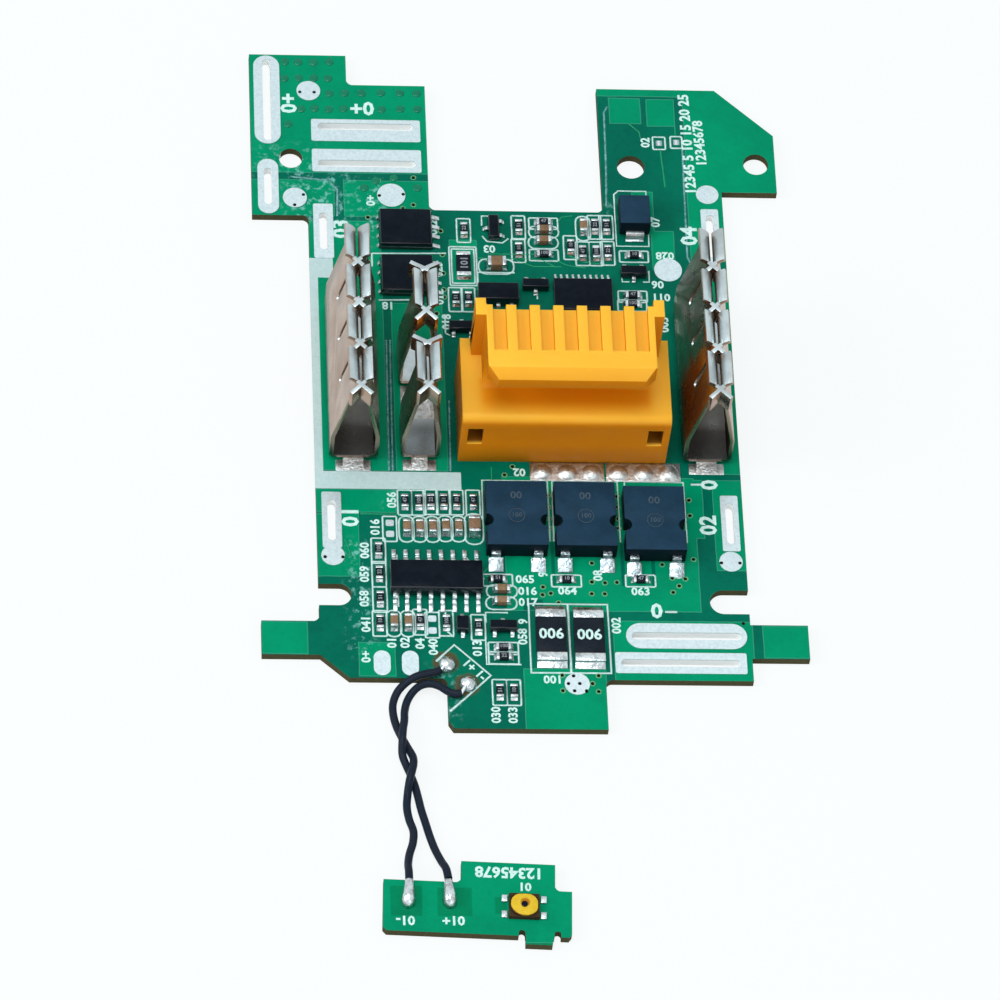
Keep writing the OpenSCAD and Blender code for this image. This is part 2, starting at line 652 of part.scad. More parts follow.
module power_fet(i) {
    color([0.1, 0.13, 0.17]) translate([0, 0, board_top + pad_t]) translate(place(fet_shares[i]))
        difference() {
            translate([-fet_w / 2, -fet_l / 2, 0]) cube([fet_w, fet_l, fet_h]);
            translate([0, 0, -overrun]) linear_extrude(fet_h + 2 * overrun)
                for (side = [-1, 1]) translate([side * fet_w / 2, -fet_notch_share * fet_l])
                    circle(fet_notch_r);
            fet_plate(fet_l, overrun);
            fet_lead_pair(0, overrun);
        }
}

// The drain plate under the body, cut a given amount deeper for its pocket
module fet_plate(length, deeper) {
    translate([-fet_w / 2 + fet_frame_t, -length / 2 + fet_notch_r, -deeper])
        cube([fet_w - 2 * fet_frame_t, length + fet_frame_reach, fet_frame_t + deeper]);
}

// The two source and gate leads, with the pocket's depth in the body
module fet_lead_pair(gap, deeper) {
    for (side = [-1, 1]) translate([side * fet_lead_pitch / 2, -fet_l / 2, 0])
        translate([-fet_lead_w / 2, -fet_lead_t, -deeper])
            cube([fet_lead_w, 2 * fet_lead_t, fet_lead_h_share * fet_h + deeper]);
}

module fet_frame(i) {
    color("silver") translate([0, 0, board_top + pad_t]) translate(place(fet_shares[i])) {
        fet_plate(fet_l, 0);
        fet_lead_pair(0, 0);
        // Solder wedge and pad in front of each lead
        for (side = [-1, 1])
            translate([side * fet_lead_pitch / 2 + fet_pad_w / 2, -fet_l / 2 - fet_lead_t, -pad_t])
                rotate([90, 0, -90]) linear_extrude(fet_pad_w)
                    polygon([[0, 0], [fet_pad_l, 0], [fet_pad_l, pad_t],
                        [0, fet_lead_h_share * fet_h * half_share]]);
    }
}

module power_fet_1() { power_fet(0); }
module power_fet_2() { power_fet(1); }
module power_fet_3() { power_fet(2); }
module fet_frame_1() { fet_frame(0); }
module fet_frame_2() { fet_frame(1); }
module fet_frame_3() { fet_frame(2); }

// A moulded chip body with drafted long sides, held a small gap above the board
module moulded(length, width, height) {
    draft = height * draft_share;
    low = height / 2 - band_t;
    rotate([90, 0, 90]) translate([0, 0, -length / 2]) linear_extrude(length)
        polygon([[-width / 2 + draft, chip_gap], [-width / 2, low], [-width / 2, height / 2],
            [-width / 2 + draft, height], [width / 2 - draft, height], [width / 2, height / 2],
            [width / 2, low], [width / 2 - draft, chip_gap]]);
}

// One gull-wing lead that leaves a body's side at the given height, and the solder
// drawn out in front of its foot where toe is over 0
module gull(width, thick, height, reach, toe = 0) {
    bend = reach * bend_share;
    solder = [[reach, thick / 2], [reach + toe_gap, thick / 2], [reach + toe_gap, toe_h],
        [reach + toe * half_share, toe_h], [reach + toe, thick / 2], [reach + toe, 0]];
    translate([width / 2, 0, 0]) rotate([90, 0, -90]) linear_extrude(width)
        polygon(concat([[0, height], [bend, height], [bend + thick, height - thick],
            [bend + thick, thick], [reach, thick]], toe > 0 ? solder : [[reach, 0]],
            [[bend, 0], [bend, height - thick], [0, height - thick]]));
}

// A row of gull-wing leads on both long sides of a body
module gull_rows(count, pitch, body_w, width, thick, height, reach, toe = 0) {
    for (turn = [0, 180], i = [0 : count - 1]) rotate(turn)
        translate([(i - (count - 1) / 2) * pitch, -body_w / 2, 0])
            gull(width, thick, height, reach, toe);
}

module controller_chip() {
    color([0.05, 0.05, 0.06]) translate([0, 0, board_top]) translate(place(controller_share))
        moulded(controller_l, controller_w, controller_h);
}

module controller_leads() {
    color("silver") translate([0, 0, board_top]) translate(place(controller_share))
        gull_rows(8, wide_pitch, controller_w, gull_w_share * wide_pitch, gull_t,
            controller_h / 2, gull_reach, toe_l);
}

module monitor_chip() {
    color([0.05, 0.05, 0.06]) translate([0, 0, board_top]) translate(place(monitor_share))
        moulded(monitor_l, monitor_w, monitor_h);
}

module monitor_leads() {
    color("silver") translate([0, 0, board_top]) translate(place(monitor_share))
        gull_rows(10, fine_pitch, monitor_w, fine_gull_w_share * fine_pitch, fine_gull_t,
            monitor_h / 2, gull_reach);
}

module switch_chip(i) {
    color([0.05, 0.05, 0.06]) translate([0, 0, board_top])
        translate(place(switch_chip_shares[i])) rotate(90)
            moulded(switch_chip_l, switch_chip_w, switch_chip_h);
}

module switch_chip_1() { switch_chip(0); }
module switch_chip_2() { switch_chip(1); }

// Flat leads with sloping solder on the right side, and short ones on the left
module switch_chip_leads() {
    lead_w = gull_w_share * wide_pitch;
    color("silver") translate([0, 0, board_top]) for (s = switch_chip_shares)
        translate(place(s)) for (i = [0 : switch_chip_leads_count - 1], side = [0, 1]) {
            reach = side == 0 ? switch_chip_reach : switch_drain_reach;
            translate([0, (i - (switch_chip_leads_count - 1) / 2) * wide_pitch + lead_w / 2, 0])
                mirror([side, 0, 0]) translate([switch_chip_w / 2, 0, 0]) rotate([90, 0, 0])
                    linear_extrude(lead_w)
                        polygon([[0, 0], [reach, 0], [reach, gull_t / 2], [0, switch_lead_h]]);
        }
}

module shunt(i) {
    color([0.08, 0.09, 0.12]) translate([0, 0, board_top + pad_t])
        translate(place(shunt_shares[i]))
            translate([-shunt_w / 2, -shunt_l * (half_share - shunt_end_share), 0])
                cube([shunt_w, shunt_l * (1 - 2 * shunt_end_share), shunt_h]);
}

module shunt_1() { shunt(0); }
module shunt_2() { shunt(1); }

// The plated ends of the shunts with their solder
module shunt_ends() {
    color("silver") translate([0, 0, board_top]) for (s = shunt_shares, turn = [0, 180])
        translate(place(s)) rotate(turn)
            translate([shunt_w / 2, -shunt_l * (half_share - shunt_end_share), 0])
                rotate([90, 0, -90]) linear_extrude(shunt_w)
                    polygon([[0, 0], [shunt_l * shunt_end_share + shunt_fillet_l, 0],
                        [shunt_l * shunt_end_share + shunt_fillet_l, pad_t],
                        [shunt_l * shunt_end_share, shunt_h * half_share],
                        [shunt_l * shunt_end_share, shunt_h + pad_t], [0, shunt_h + pad_t]]);
}

module clamp_diode() {
    color([0.12, 0.13, 0.15]) translate([0, 0, board_top]) translate(place(clamp_share))
        moulded(clamp_w, clamp_l, clamp_h);
}

module clamp_diode_tabs() {
    color("silver") translate([0, 0, board_top]) translate(place(clamp_share))
        for (turn = [0, 180]) rotate(turn) translate([0, -clamp_l / 2, 0])
            gull(clamp_tab_w, clamp_tab_t, clamp_h / 2, clamp_tab_reach + clamp_tab_t);
}

module regulator() {
    color([0.05, 0.05, 0.06]) translate([0, 0, board_top]) translate(place(regulator_share))
        moulded(regulator_w, regulator_l, regulator_h);
}

// Three leads to the front and the wide tab to the rear
module regulator_leads() {
    color("silver") translate([0, 0, board_top]) translate(place(regulator_share)) {
        for (i = [-1 : 1]) translate([i * regulator_pitch, -regulator_l / 2, 0])
            gull(regulator_lead_w, gull_t, regulator_h / 2, sot_reach);
        rotate(180) translate([0, -regulator_l / 2, 0])
            gull(regulator_pitch + regulator_lead_w, gull_t, regulator_h / 2, sot_reach);
    }
}

module small_transistors() {
    color([0.05, 0.05, 0.06]) translate([0, 0, board_top]) {
        for (s = sot_shares) translate(place(s)) rotate(90 * s[2]) moulded(sot_w, sot_l, sot_h);
    }
}

// Two leads to the rear and one to the front of each transistor
module small_transistor_leads() {
    color("silver") translate([0, 0, board_top]) for (s = sot_shares)
        translate(place(s)) rotate(90 * s[2]) {
            for (side = [-1, 1]) translate([side * sot_pitch / 2, 0, 0]) rotate(180)
                translate([0, -sot_l / 2, 0]) gull(sot_lead_w, gull_t, sot_h / 2, sot_reach);
            translate([0, -sot_l / 2, 0]) gull(sot_lead_w, gull_t, sot_h / 2, sot_reach);
        }
}

module signal_diode() {
    color([0.05, 0.05, 0.06]) translate([0, 0, board_top]) translate(place(diode_share))
        moulded(sot_l, diode_l, sot_h);
}

module signal_diode_leads() {
    color("silver") translate([0, 0, board_top]) translate(place(diode_share))
        for (turn = [0, 180]) rotate(turn) translate([0, -diode_l / 2, 0])
            gull(sot_lead_w, gull_t, sot_h / 2, sot_reach);
}

// The body of a chip part between its two ends
module chip_body(length, width, height, end_share) {
    translate([0, 0, board_top + pad_t + height / 2])
        cube([length * (1 - 2 * end_share), width, height], center = true);
}

// The two plated ends of a chip part, with the solder that holds them
module chip_end_pair(length, width, height, end_share) {
    for (turn = [0, 180]) rotate(turn)
        translate([length * (half_share - end_share), width / 2, board_top])
            rotate([90, 0, 0]) linear_extrude(width)
                polygon([[0, 0], [length * end_share + chip_pad_reach, 0],
                    [length * end_share + chip_pad_reach, pad_t],
                    [length * end_share, pad_t + height * half_share],
                    [length * end_share, pad_t + height], [0, pad_t + height]]);
}

module chip_resistors() {
    color([0.1, 0.1, 0.12]) for (s = resistor_shares) translate(place(s)) rotate(90 * s[2])
        chip_body(chip_l, chip_w, resistor_h, chip_end_share);
}

module chip_capacitors() {
    color("tan") for (s = capacitor_shares) translate(place(s)) rotate(90 * s[2])
        chip_body(chip_l, chip_w, capacitor_h, chip_end_share);
}

module chip_ends() {
    color("silver") {
        for (s = resistor_shares) translate(place(s)) rotate(90 * s[2])
            chip_end_pair(chip_l, chip_w, resistor_h, chip_end_share);
        for (s = capacitor_shares) translate(place(s)) rotate(90 * s[2])
            chip_end_pair(chip_l, chip_w, capacitor_h, chip_end_share);
    }
}

module large_resistor() {
    color([0.05, 0.05, 0.06]) translate(place(large_resistor_share)) rotate(90)
        chip_body(large_resistor_l, large_resistor_w, large_resistor_h, large_end_share);
}

module large_resistor_ends() {
    color("silver") translate(place(large_resistor_share)) rotate(90)
        chip_end_pair(large_resistor_l, large_resistor_w, large_resistor_h, large_end_share);
}

module large_capacitors() {
    color("tan") for (s = large_capacitor_shares) translate(place(s)) rotate(90 * s[2])
        chip_body(large_capacitor_l, large_capacitor_w, large_capacitor_h, chip_end_share);
}

module large_capacitor_ends() {
    color("silver") for (s = large_capacitor_shares) translate(place(s)) rotate(90 * s[2])
        chip_end_pair(large_capacitor_l, large_capacitor_w, large_capacitor_h, chip_end_share);
}

// Sweep of a round lead along the smooth curve through its route points
function before(p, i) = p[max(i, 0)];
function after(p, i) = p[min(i, len(p) - 1)];
function curve(a, b, c, d, t) = b + (c - a) * t / 2
    + (2 * a - 5 * b + 4 * c - d) * t * t / 2 + (3 * b - a - 3 * c + d) * t * t * t / 2;
function smooth(p, steps) = concat([for (i = [0 : len(p) - 2], k = [0 : steps - 1])
    curve(before(p, i - 1), p[i], p[i + 1], after(p, i + 2), k / steps)], [p[len(p) - 1]]);
function unit(v) = v / norm(v);
function ring(p, i, r, n) =
    let (way = unit(after(p, i + 1) - before(p, i - 1)), side = unit(cross(way, [0, 0, 1])),
        up = cross(side, way))
    [for (k = [0 : n - 1]) p[i] + r * (cos(360 * k / n) * side + sin(360 * k / n) * up)];

// A route point in the place it has on boards of these sizes
function lead_point(p) = [p[0] * span_w / route_span, p[1] * board_l / route_length,
    lead_d / 2 + p[2] * board_t];

module lead(route) {
    p = smooth([for (q = route) lead_point(q)], lead_steps);
    n = lead_sides;
    last = len(p) - 1;
    rings = [for (i = [0 : last], q = ring(p, i, lead_d / 2, n)) q];
    walls = [for (i = [0 : last - 1], k = [0 : n - 1])
        [i * n + k, i * n + (k + 1) % n, (i + 1) * n + (k + 1) % n, (i + 1) * n + k]];
    color([0.12, 0.12, 0.14]) polyhedron(rings, concat(walls,
        [[for (k = [n - 1 : -1 : 0]) k]], [[for (k = [0 : n - 1]) last * n + k]]));
}

module lead_a() { lead(lead_a_route); }
module lead_b() { lead(lead_b_route); }

// A mound of solder on a board, drawn out along the bare end of a lead as far as its
// cover. The cover is cut square to the way to the lead's next point.
module lead_solder(at, end, next, d, h) {
    tail = [end[0] - at[0], end[1] - at[1]];
    tail_l = norm(tail) + lead_d;
    translate([at[0], at[1], board_top]) {
        solder_dome(d, h);
        difference() {
            rotate(atan2(tail[1], tail[0])) intersection() {
                translate([0, 0, end[2] - board_top]) rotate([0, 90, 0])
                    cylinder(h = tail_l, d = lead_d * solder_tail_share);
                translate([-overrun, -d, 0]) cube([tail_l + 2 * overrun, 2 * d, 2 * d]);
            }
            translate([tail[0], tail[1], 0]) rotate(atan2(next[1] - end[1], next[0] - end[0]))
                translate([0, -2 * lead_d, 0]) cube(4 * lead_d);
        }
    }
}

module main_lead_solder() {
    ends = [for (route = [lead_a_route, lead_b_route]) [for (i = [0, 1]) lead_point(route[i])]];
    color("silver") for (i = [0, 1]) lead_solder(place(main_solder_shares[i]), ends[i][0],
        ends[i][1], main_solder_d, main_solder_h);
}

// Everything on the switch board lies from the board's rear left corner
module on_switch_board() {
    translate(place(switch_corner_share)) rotate(-switch_turn) children();
}

// The place of a switch board point in the whole part
function switch_world(s) = let (p = switch_place(s), c = place(switch_corner_share))
    [c[0] + p[0] * cos(switch_turn) + p[1] * sin(switch_turn),
     c[1] - p[0] * sin(switch_turn) + p[1] * cos(switch_turn)];

module switch_board() {
    color("seagreen") on_switch_board() linear_extrude(board_t) difference() {
        union() {
            polygon([for (s = switch_outline_shares) switch_place(s)]);
            for (s = switch_fillet_shares) translate(switch_place(s)) rotate(90 * s[2])
                inside_fillet(switch_fillet_r);
        }
        for (x = relief_shares) translate(switch_place([x, -1])) rotate(90)
            stadium(2 * relief_l, relief_w);
    }
}

module switch_lead_solder() {
    ends = [for (route = [lead_a_route, lead_b_route])
        [for (i = [1, 2]) lead_point(route[len(route) - i])]];
    color("silver") for (i = [0, 1]) lead_solder(switch_world(switch_solder_shares[i]),
        ends[i][0], ends[i][1], switch_solder_d, switch_solder_h);
}

// The push switch stands on the switch board
module on_push_switch() {
    on_switch_board() translate(switch_place(switch_share)) translate([0, 0, board_t])
        children();
}

module push_switch_base() {
    color("saddlebrown") on_push_switch() translate([-switch_w / 2, -switch_l / 2, 0])
        cube([switch_w, switch_l, base_plate_h]);
}

// An oval of the button's proportions, grown by a margin
module oval(margin) {
    w = button_w_share * switch_w + 2 * margin;
    l = button_l_share * switch_l + 2 * margin;
    rounded([w, l], l * oval_share);
}

module push_switch_frame() {
    color("dimgray") on_push_switch() translate([0, 0, base_plate_h])
        linear_extrude(frame_h - base_plate_h) difference() {
            square([switch_w, switch_l], center = true);
            oval(button_clear);
        }
}

// The snap dome under the button, as high as the button is free to travel
module push_switch_dome() {
    color("silver") on_push_switch() translate([0, 0, base_plate_h])
        solder_dome(dome_share * button_l_share * switch_l, dome_t + switch_travel);
}

module push_switch_button() {
    color("yellow") on_push_switch()
        translate([0, 0, base_plate_h + dome_t + switch_travel]) linear_extrude(button_h) oval(0);
}

module push_switch_nub() {
    color([0.1, 0.08, 0.08]) on_push_switch()
        translate([0, 0, base_plate_h + dome_t + switch_travel + button_h])
            cylinder(h = nub_h, d = nub_d);
}

module push_switch_legs() {
    color("silver") on_push_switch() for (x = [-1, 1], y = [-1, 1])
        translate([x * leg_step_share * switch_w, y * leg_row_share * switch_l, leg_h / 2])
            cube([leg_w, leg_l, leg_h], center = true);
}

main_board();
tab_pads();
test_pads();
terminal_solder();
connector_solder();
power_terminal_left();
power_terminal_right();
signal_terminal_rear();
signal_terminal_front();
connector_housing();
power_fet_1();
power_fet_2();
power_fet_3();
fet_frame_1();
fet_frame_2();
fet_frame_3();
controller_chip();
controller_leads();
monitor_chip();
monitor_leads();
switch_chip_1();
switch_chip_2();
switch_chip_leads();
shunt_1();
shunt_2();
shunt_ends();
clamp_diode();
clamp_diode_tabs();
regulator();
regulator_leads();
small_transistors();
small_transistor_leads();
signal_diode();
signal_diode_leads();
chip_resistors();
chip_capacitors();
chip_ends();
large_resistor();
large_resistor_ends();
large_capacitors();
large_capacitor_ends();
lead_a();
lead_b();
main_lead_solder();
switch_lead_solder();
switch_board();
push_switch_base();
push_switch_frame();
push_switch_dome();
push_switch_button();
push_switch_nub();
push_switch_legs();
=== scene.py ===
# %% [markdown]
# # A battery management board
#
# This lesson dresses a green circuit board that looks after a power tool's battery. It
# carries two long and two short fork terminals, an amber data connector, power
# transistors and many small chips, and two thin leads run to a little push switch board.
#
# The CAD model is loaded as a fixed frame. Everything we add sits on it, in metres.

# %% Load the frame
import math

import bpy
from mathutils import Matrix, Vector


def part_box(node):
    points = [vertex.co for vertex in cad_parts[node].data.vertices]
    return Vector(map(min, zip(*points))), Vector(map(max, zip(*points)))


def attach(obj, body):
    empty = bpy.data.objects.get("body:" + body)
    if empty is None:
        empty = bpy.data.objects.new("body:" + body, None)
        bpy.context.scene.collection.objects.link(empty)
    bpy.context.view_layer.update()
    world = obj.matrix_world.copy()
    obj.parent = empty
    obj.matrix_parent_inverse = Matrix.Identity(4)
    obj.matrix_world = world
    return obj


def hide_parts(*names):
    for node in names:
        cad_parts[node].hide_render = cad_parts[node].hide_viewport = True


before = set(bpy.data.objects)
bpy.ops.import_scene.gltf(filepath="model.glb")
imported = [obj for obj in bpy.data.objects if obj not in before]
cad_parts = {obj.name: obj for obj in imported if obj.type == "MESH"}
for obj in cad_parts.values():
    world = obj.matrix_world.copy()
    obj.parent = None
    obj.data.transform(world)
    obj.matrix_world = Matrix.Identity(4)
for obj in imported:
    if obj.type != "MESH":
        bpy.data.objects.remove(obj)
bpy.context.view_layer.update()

MM = 0.001
print("nodes loaded:", len(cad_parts))

# %% [markdown]
# ## The camera
#
# The photograph looks down at the board from its front left, 57 degrees above it, through
# a long lens, so the board's edges stay nearly parallel. A long lens far away gives the
# same calm perspective. The numbers come from fitting known lengths of the board.

# %% Camera at the photograph's place
CAMERA_PLACE = (-0.06758, -0.42829, 0.63403)
CAMERA_TURN = (33.179, -4.4264, -2.1244)
LENS, SENSOR = 253.04, 36
bpy.ops.object.camera_add(
    location=CAMERA_PLACE, rotation=[math.radians(angle) for angle in CAMERA_TURN])
camera = bpy.context.object
camera.name = "camera"
camera.data.lens = LENS
camera.data.sensor_width = SENSOR
camera.data.clip_start = 0.01
bpy.context.scene.camera = camera
print("camera distance:", round(camera.location.length, 3), "m")

# %% [markdown]
# ## Helpers for pieces
#
# An operator acts on all that is selected, so most steps begin by selecting one piece and
# nothing else. Thin things, from a lead to a printed line, start as a curve, because a
# curve keeps its thickness and is easy to route. It is made a mesh at once, so that its
# size in the scene is the real one.


# %% Select, draw, join and settle
def select_only(*pieces):
    """Selects these pieces alone; the first is the active one."""
    bpy.ops.object.select_all(action="DESELECT")
    for piece in pieces:
        piece.select_set(True)
    bpy.context.view_layer.objects.active = pieces[0]


def drawn(name, paths, **settings):
    """Curves made one mesh; a path is (points in metres, whether it closes)."""
    shape = bpy.data.curves.new(name, "CURVE")
    for key, value in settings.items():
        setattr(shape, key, value)
    for points, closed in paths:
        spline = shape.splines.new("POLY")
        spline.points.add(len(points) - 1)
        for spot, place in zip(spline.points, points):
            spot.co = (*place, 1)
        spline.use_cyclic_u = closed
    piece = bpy.data.objects.new(name, shape)
    bpy.context.collection.objects.link(piece)
    select_only(piece)
    bpy.ops.object.convert(target="MESH")
    return piece


def joined(name, pieces):
    """Joins pieces into the first of them and names it."""
    select_only(*pieces)
    bpy.ops.object.join()
    piece = bpy.context.object
    piece.name = name
    return piece


def coat(piece, material):
    """Gives a piece one material in place of all it had."""
    piece.data.materials.clear()
    piece.data.materials.append(material)


def settle(piece, material, body="board"):
    """Coats a piece and tells the frame its body."""
    coat(piece, material)
    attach(piece, body)


# %% [markdown]
# ## Two leads
#
# A pair of thin black leads runs from the main board to the switch board. They cross
# twice, and each climbs over the other in a low hump. The points are the same ones that
# the CAD model sweeps, joined by the same smooth curve, so the length can be measured.

# %% Routes of the leads: x and y in millimetres, and the height in board thicknesses
LEAD_D = 0.86 * MM
BOARD_T = 1.0 * MM
ROUTE_A = [
    (-10.4, -37.2, 1.12), (-11, -37.5, 1.12), (-11.9, -37.7, 1.12), (-13, -38, 1.04),
    (-14.1, -38.6, 0.7), (-15, -39.5, 0.3), (-15.5, -40.8, 0.05), (-15.5, -42.2, 0),
    (-15.2, -43.6, 0), (-14.7, -44.9, 0), (-14.1, -46.2, 0), (-13.6, -47.5, 0.3),
    (-13.6, -48.6, 0.8), (-13.8, -49.6, 1), (-14.1, -50.8, 0.8), (-14.3, -52.1, 0.2),
    (-14.4, -53.5, 0), (-14.2, -55, 0), (-13.8, -56.4, 0), (-13.9, -57.8, 0),
    (-14.3, -59.2, 0), (-14.5, -60.6, 0.4), (-14.5, -61.8, 0.95), (-14.5, -62.9, 1.03)]
ROUTE_B = [
    (-8.3, -40.05, 1.12), (-8.9, -40.17, 1.12), (-9.7, -39.87, 1.12), (-10.6, -39.2, 1.08),
    (-11.6, -38.8, 0.9), (-12.6, -38.9, 0.6), (-13.4, -39.5, 0.25), (-14, -40.5, 0.02),
    (-14.3, -41.8, 0.15), (-14.4, -43.2, 0.7), (-14.6, -44.5, 1), (-14.7, -45.8, 0.9),
    (-14.7, -47.2, 0.25), (-14.3, -48.4, 0), (-13.9, -49.5, 0), (-13.5, -50.8, 0),
    (-13.2, -52.2, 0), (-12.9, -53.8, 0), (-12.5, -55.4, 0), (-12.1, -57, 0),
    (-11.6, -58.6, 0), (-11, -60.2, 0.3), (-10.6, -61.4, 0.9), (-10.4, -62.7, 1.03)]


def in_metres(route):
    """Places of the lead's middle in metres, for a lead that lies on the heights given."""
    return [Vector((x * MM, y * MM, LEAD_D / 2 + h * BOARD_T)) for x, y, h in route]


def smooth_route(points, steps=6):
    """The smooth curve through all the points, as the CAD sweep takes it."""
    full = []
    for i in range(len(points) - 1):
        a, b = points[max(i - 1, 0)], points[i]
        c, d = points[i + 1], points[min(i + 2, len(points) - 1)]
        for k in range(steps):
            t = k / steps
            full.append(b + (c - a) * t / 2 + (2 * a - 5 * b + 4 * c - d) * t * t / 2
                        + (3 * b - a - 3 * c + d) * t ** 3 / 2)
    return full + [points[-1]]


# %% Make the leads
def add_lead(name, route, node):
    """One black lead: a round tube along its route."""
    points = smooth_route(in_metres(route))
    lead = drawn(name, [(points, False)], dimensions="3D", bevel_depth=LEAD_D / 2,
                 bevel_resolution=4, use_fill_caps=True)
    bpy.ops.object.shade_smooth_by_angle(angle=math.radians(50))
    length = sum((b - a).length for a, b in zip(points, points[1:]))
    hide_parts(node)
    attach(lead, "board")
    print(name, "is", round(length / MM, 1), "mm long")
    return lead


lead_a = add_lead("black_lead_a", ROUTE_A, "lead_a")
lead_b = add_lead("black_lead_b", ROUTE_B, "lead_b")

# %% [markdown]
# ## Shader maths in Python
#
# Each finish is a small sum of patterns: grain, stains, a lighter edge. Writing those
# sums as node after node hides the idea. One small class wraps a socket, and Python's
# own signs add the Math nodes, so that a formula reads as a formula.

# %% A socket that can be reckoned with
MIX_A, MIX_B, MIX_COLOUR = 6, 7, 2


class Signal:
    """A node socket that Python's signs can add, subtract, multiply and compare."""

    def __init__(self, tree, socket):
        self.tree, self.socket = tree, socket

    def node(self, kind, settings, values, out=0):
        """Adds a node, sets it up, feeds its sockets and gives back one output."""
        made = self.tree.nodes.new("ShaderNode" + kind)
        for name, value in settings.items():
            setattr(made, name, value)
        for key, value in values.items():
            if isinstance(value, Signal):
                self.tree.links.new(value.socket, made.inputs[key])
            else:
                made.inputs[key].default_value = value
        return Signal(self.tree, made.outputs[out])

    def maths(self, operation, a, b=0.0):
        """One Math node."""
        return self.node("Math", {"operation": operation}, {0: a, 1: b})

    def vector(self, operation, a, b, out="Vector"):
        """One Vector Math node."""
        return self.node("VectorMath", {"operation": operation}, {0: a, 1: b}, out)

    def __add__(self, other): return self.maths("ADD", self, other)
    def __radd__(self, other): return self.maths("ADD", other, self)
    def __sub__(self, other): return self.maths("SUBTRACT", self, other)
    def __rsub__(self, other): return self.maths("SUBTRACT", other, self)
    def __mul__(self, other): return self.maths("MULTIPLY", self, other)
    def __rmul__(self, other): return self.maths("MULTIPLY", other, self)
    def __gt__(self, other): return self.maths("GREATER_THAN", self, other)
    def __lt__(self, other): return self.maths("LESS_THAN", self, other)

    def between(self, low, high):
        """0 below low, 1 above high, and a soft step from one to the other."""
        return self.node("MapRange", {"interpolation_type": "SMOOTHSTEP"},
                         {"Value": self, "From Min": low, "From Max": high})

    def paint(self, colour_a, colour_b):
        """Colour a where the signal is 0 and colour b where it is 1."""
        both = {}
        for key, value in ((MIX_A, colour_a), (MIX_B, colour_b)):
            both[key] = value if isinstance(value, Signal) else (*value, 1)
        return self.node("Mix", {"data_type": "RGBA"}, {0: self, **both}, out=MIX_COLOUR)


# %% A fresh material and its patterns
def finish(name, **shader):
    """A new material with its shader's values, and object coordinates in millimetres."""
    material = bpy.data.materials.new(name)
    material.use_nodes = True
    tree = material.node_tree
    surface = tree.nodes["Principled BSDF"]
    for key, value in shader.items():
        surface.inputs[key.replace("_", " ")].default_value = value
    start = Signal(tree, None)
    coords = start.node("TexCoord", {}, {}, out="Object")
    place = start.node("VectorMath", {"operation": "SCALE"}, {0: coords, "Scale": 1 / MM})
    return material, place


def feed(material, **links):
    """Links signals to the sockets of the material's shader."""
    surface = material.node_tree.nodes["Principled BSDF"]
    for key, value in links.items():
        material.node_tree.links.new(value.socket, surface.inputs[key.replace("_", " ")])


def noise(place, scale, detail=3.0, rough=0.5):
    """Cloudy noise, with scale in lumps per millimetre."""
    return place.node("TexNoise", {}, {"Vector": place, "Scale": scale, "Detail": detail,
                                       "Roughness": rough})


def bump(height, strength, distance):
    """A bump from a height signal; the distance is in millimetres."""
    return height.node("Bump", {}, {"Height": height, "Strength": strength,
                                    "Distance": distance * MM})


def axis(place, which):
    """One coordinate of the place, in millimetres."""
    return place.node("SeparateXYZ", {}, {0: place}, out=which)


def facing_up(place, low, high):
    """1 on faces that look up and 0 on upright ones, from the piece's own normals."""
    normal = place.node("TexCoord", {}, {}, out="Normal")
    return axis(normal, "Z").between(low, high)


# %% [markdown]
# ## Solder mask
#
# The green coat is a thin glossy lacquer. Over copper it looks bright emerald, and over
# bare laminate it is darker and bluer, so the copper under it can be read from above. We
# could lay thin sheets over the board, but they would cover its holes. Instead the finish
# itself asks how far a point lies outside each copper area: the largest of the distances
# along X and Y past a rectangle's half size. The same distance places a pale haze where
# flux has dried. The sawn edge shows the brown core, painted dark as shade, and some slot
# walls are pale fibre painted white as if lit.

# %% Where the copper lies, in millimetres: left, front, right, rear
LOBE_COPPER = [
    (-29.4, 27.9, -9.6, 44.2), (-29.4, 22, -20.2, 26.9), (-19.1, 22, -9.6, 26.9),
    (9.3, 39.1, 29.4, 44.2), (19.3, 26, 29.4, 39.3), (11, 35.3, 14.5, 38.8),
    (15.2, 35, 18.3, 38.7), (19.2, 16.6, 23.2, 26.2), (14.9, 15.4, 17.4, 20.6),
    (13, 20, 15.3, 25.9)]
TERMINAL_COPPER = [(-23.2, -11.6, -15.2, 21.4), (-14.3, -11.6, -8.7, 10.4),
                   (20.1, -11.6, 23.2, 15.2), (-7.6, 12.4, -4.6, 19)]
POWER_COPPER = [
    (-2.9, -29.3, 17.9, -12.2), (16.5, -19.9, 18.8, -12.4), (19.9, -24, 23.2, -12.4),
    (8.3, -38.2, 23.3, -30.5), (-1.5, -44.2, 7.3, -36.6)]
SMALL_COPPER = [(-23.2, -25.2, -18.6, -17.2), (-23.2, -17, -14.5, -14.1),
                (-19, -37.7, -15.1, -33.5), (-29.4, -35, -24.4, -31), (24.4, -35, 29.4, -31)]
BOARD_COPPER = LOBE_COPPER + TERMINAL_COPPER + POWER_COPPER + SMALL_COPPER
SWITCH_COPPER = [(-18, -70, 5, -59)]
# Places within the copper where there is none
BOARD_GAPS = [(2, -26.1, 2.4, -20.6), (9.5, -26.1, 9.9, -20.6), (12.8, -26.1, 13.2, -22),
              (-1.2, -29.4, 0.9, -27.9)]
SWITCH_GAPS = [
    (-16.5, -66.9, -13.2, -63.3), (-11.6, -66.9, -8, -63.5), (-5.6, -66.6, -4.4, -64.6)]
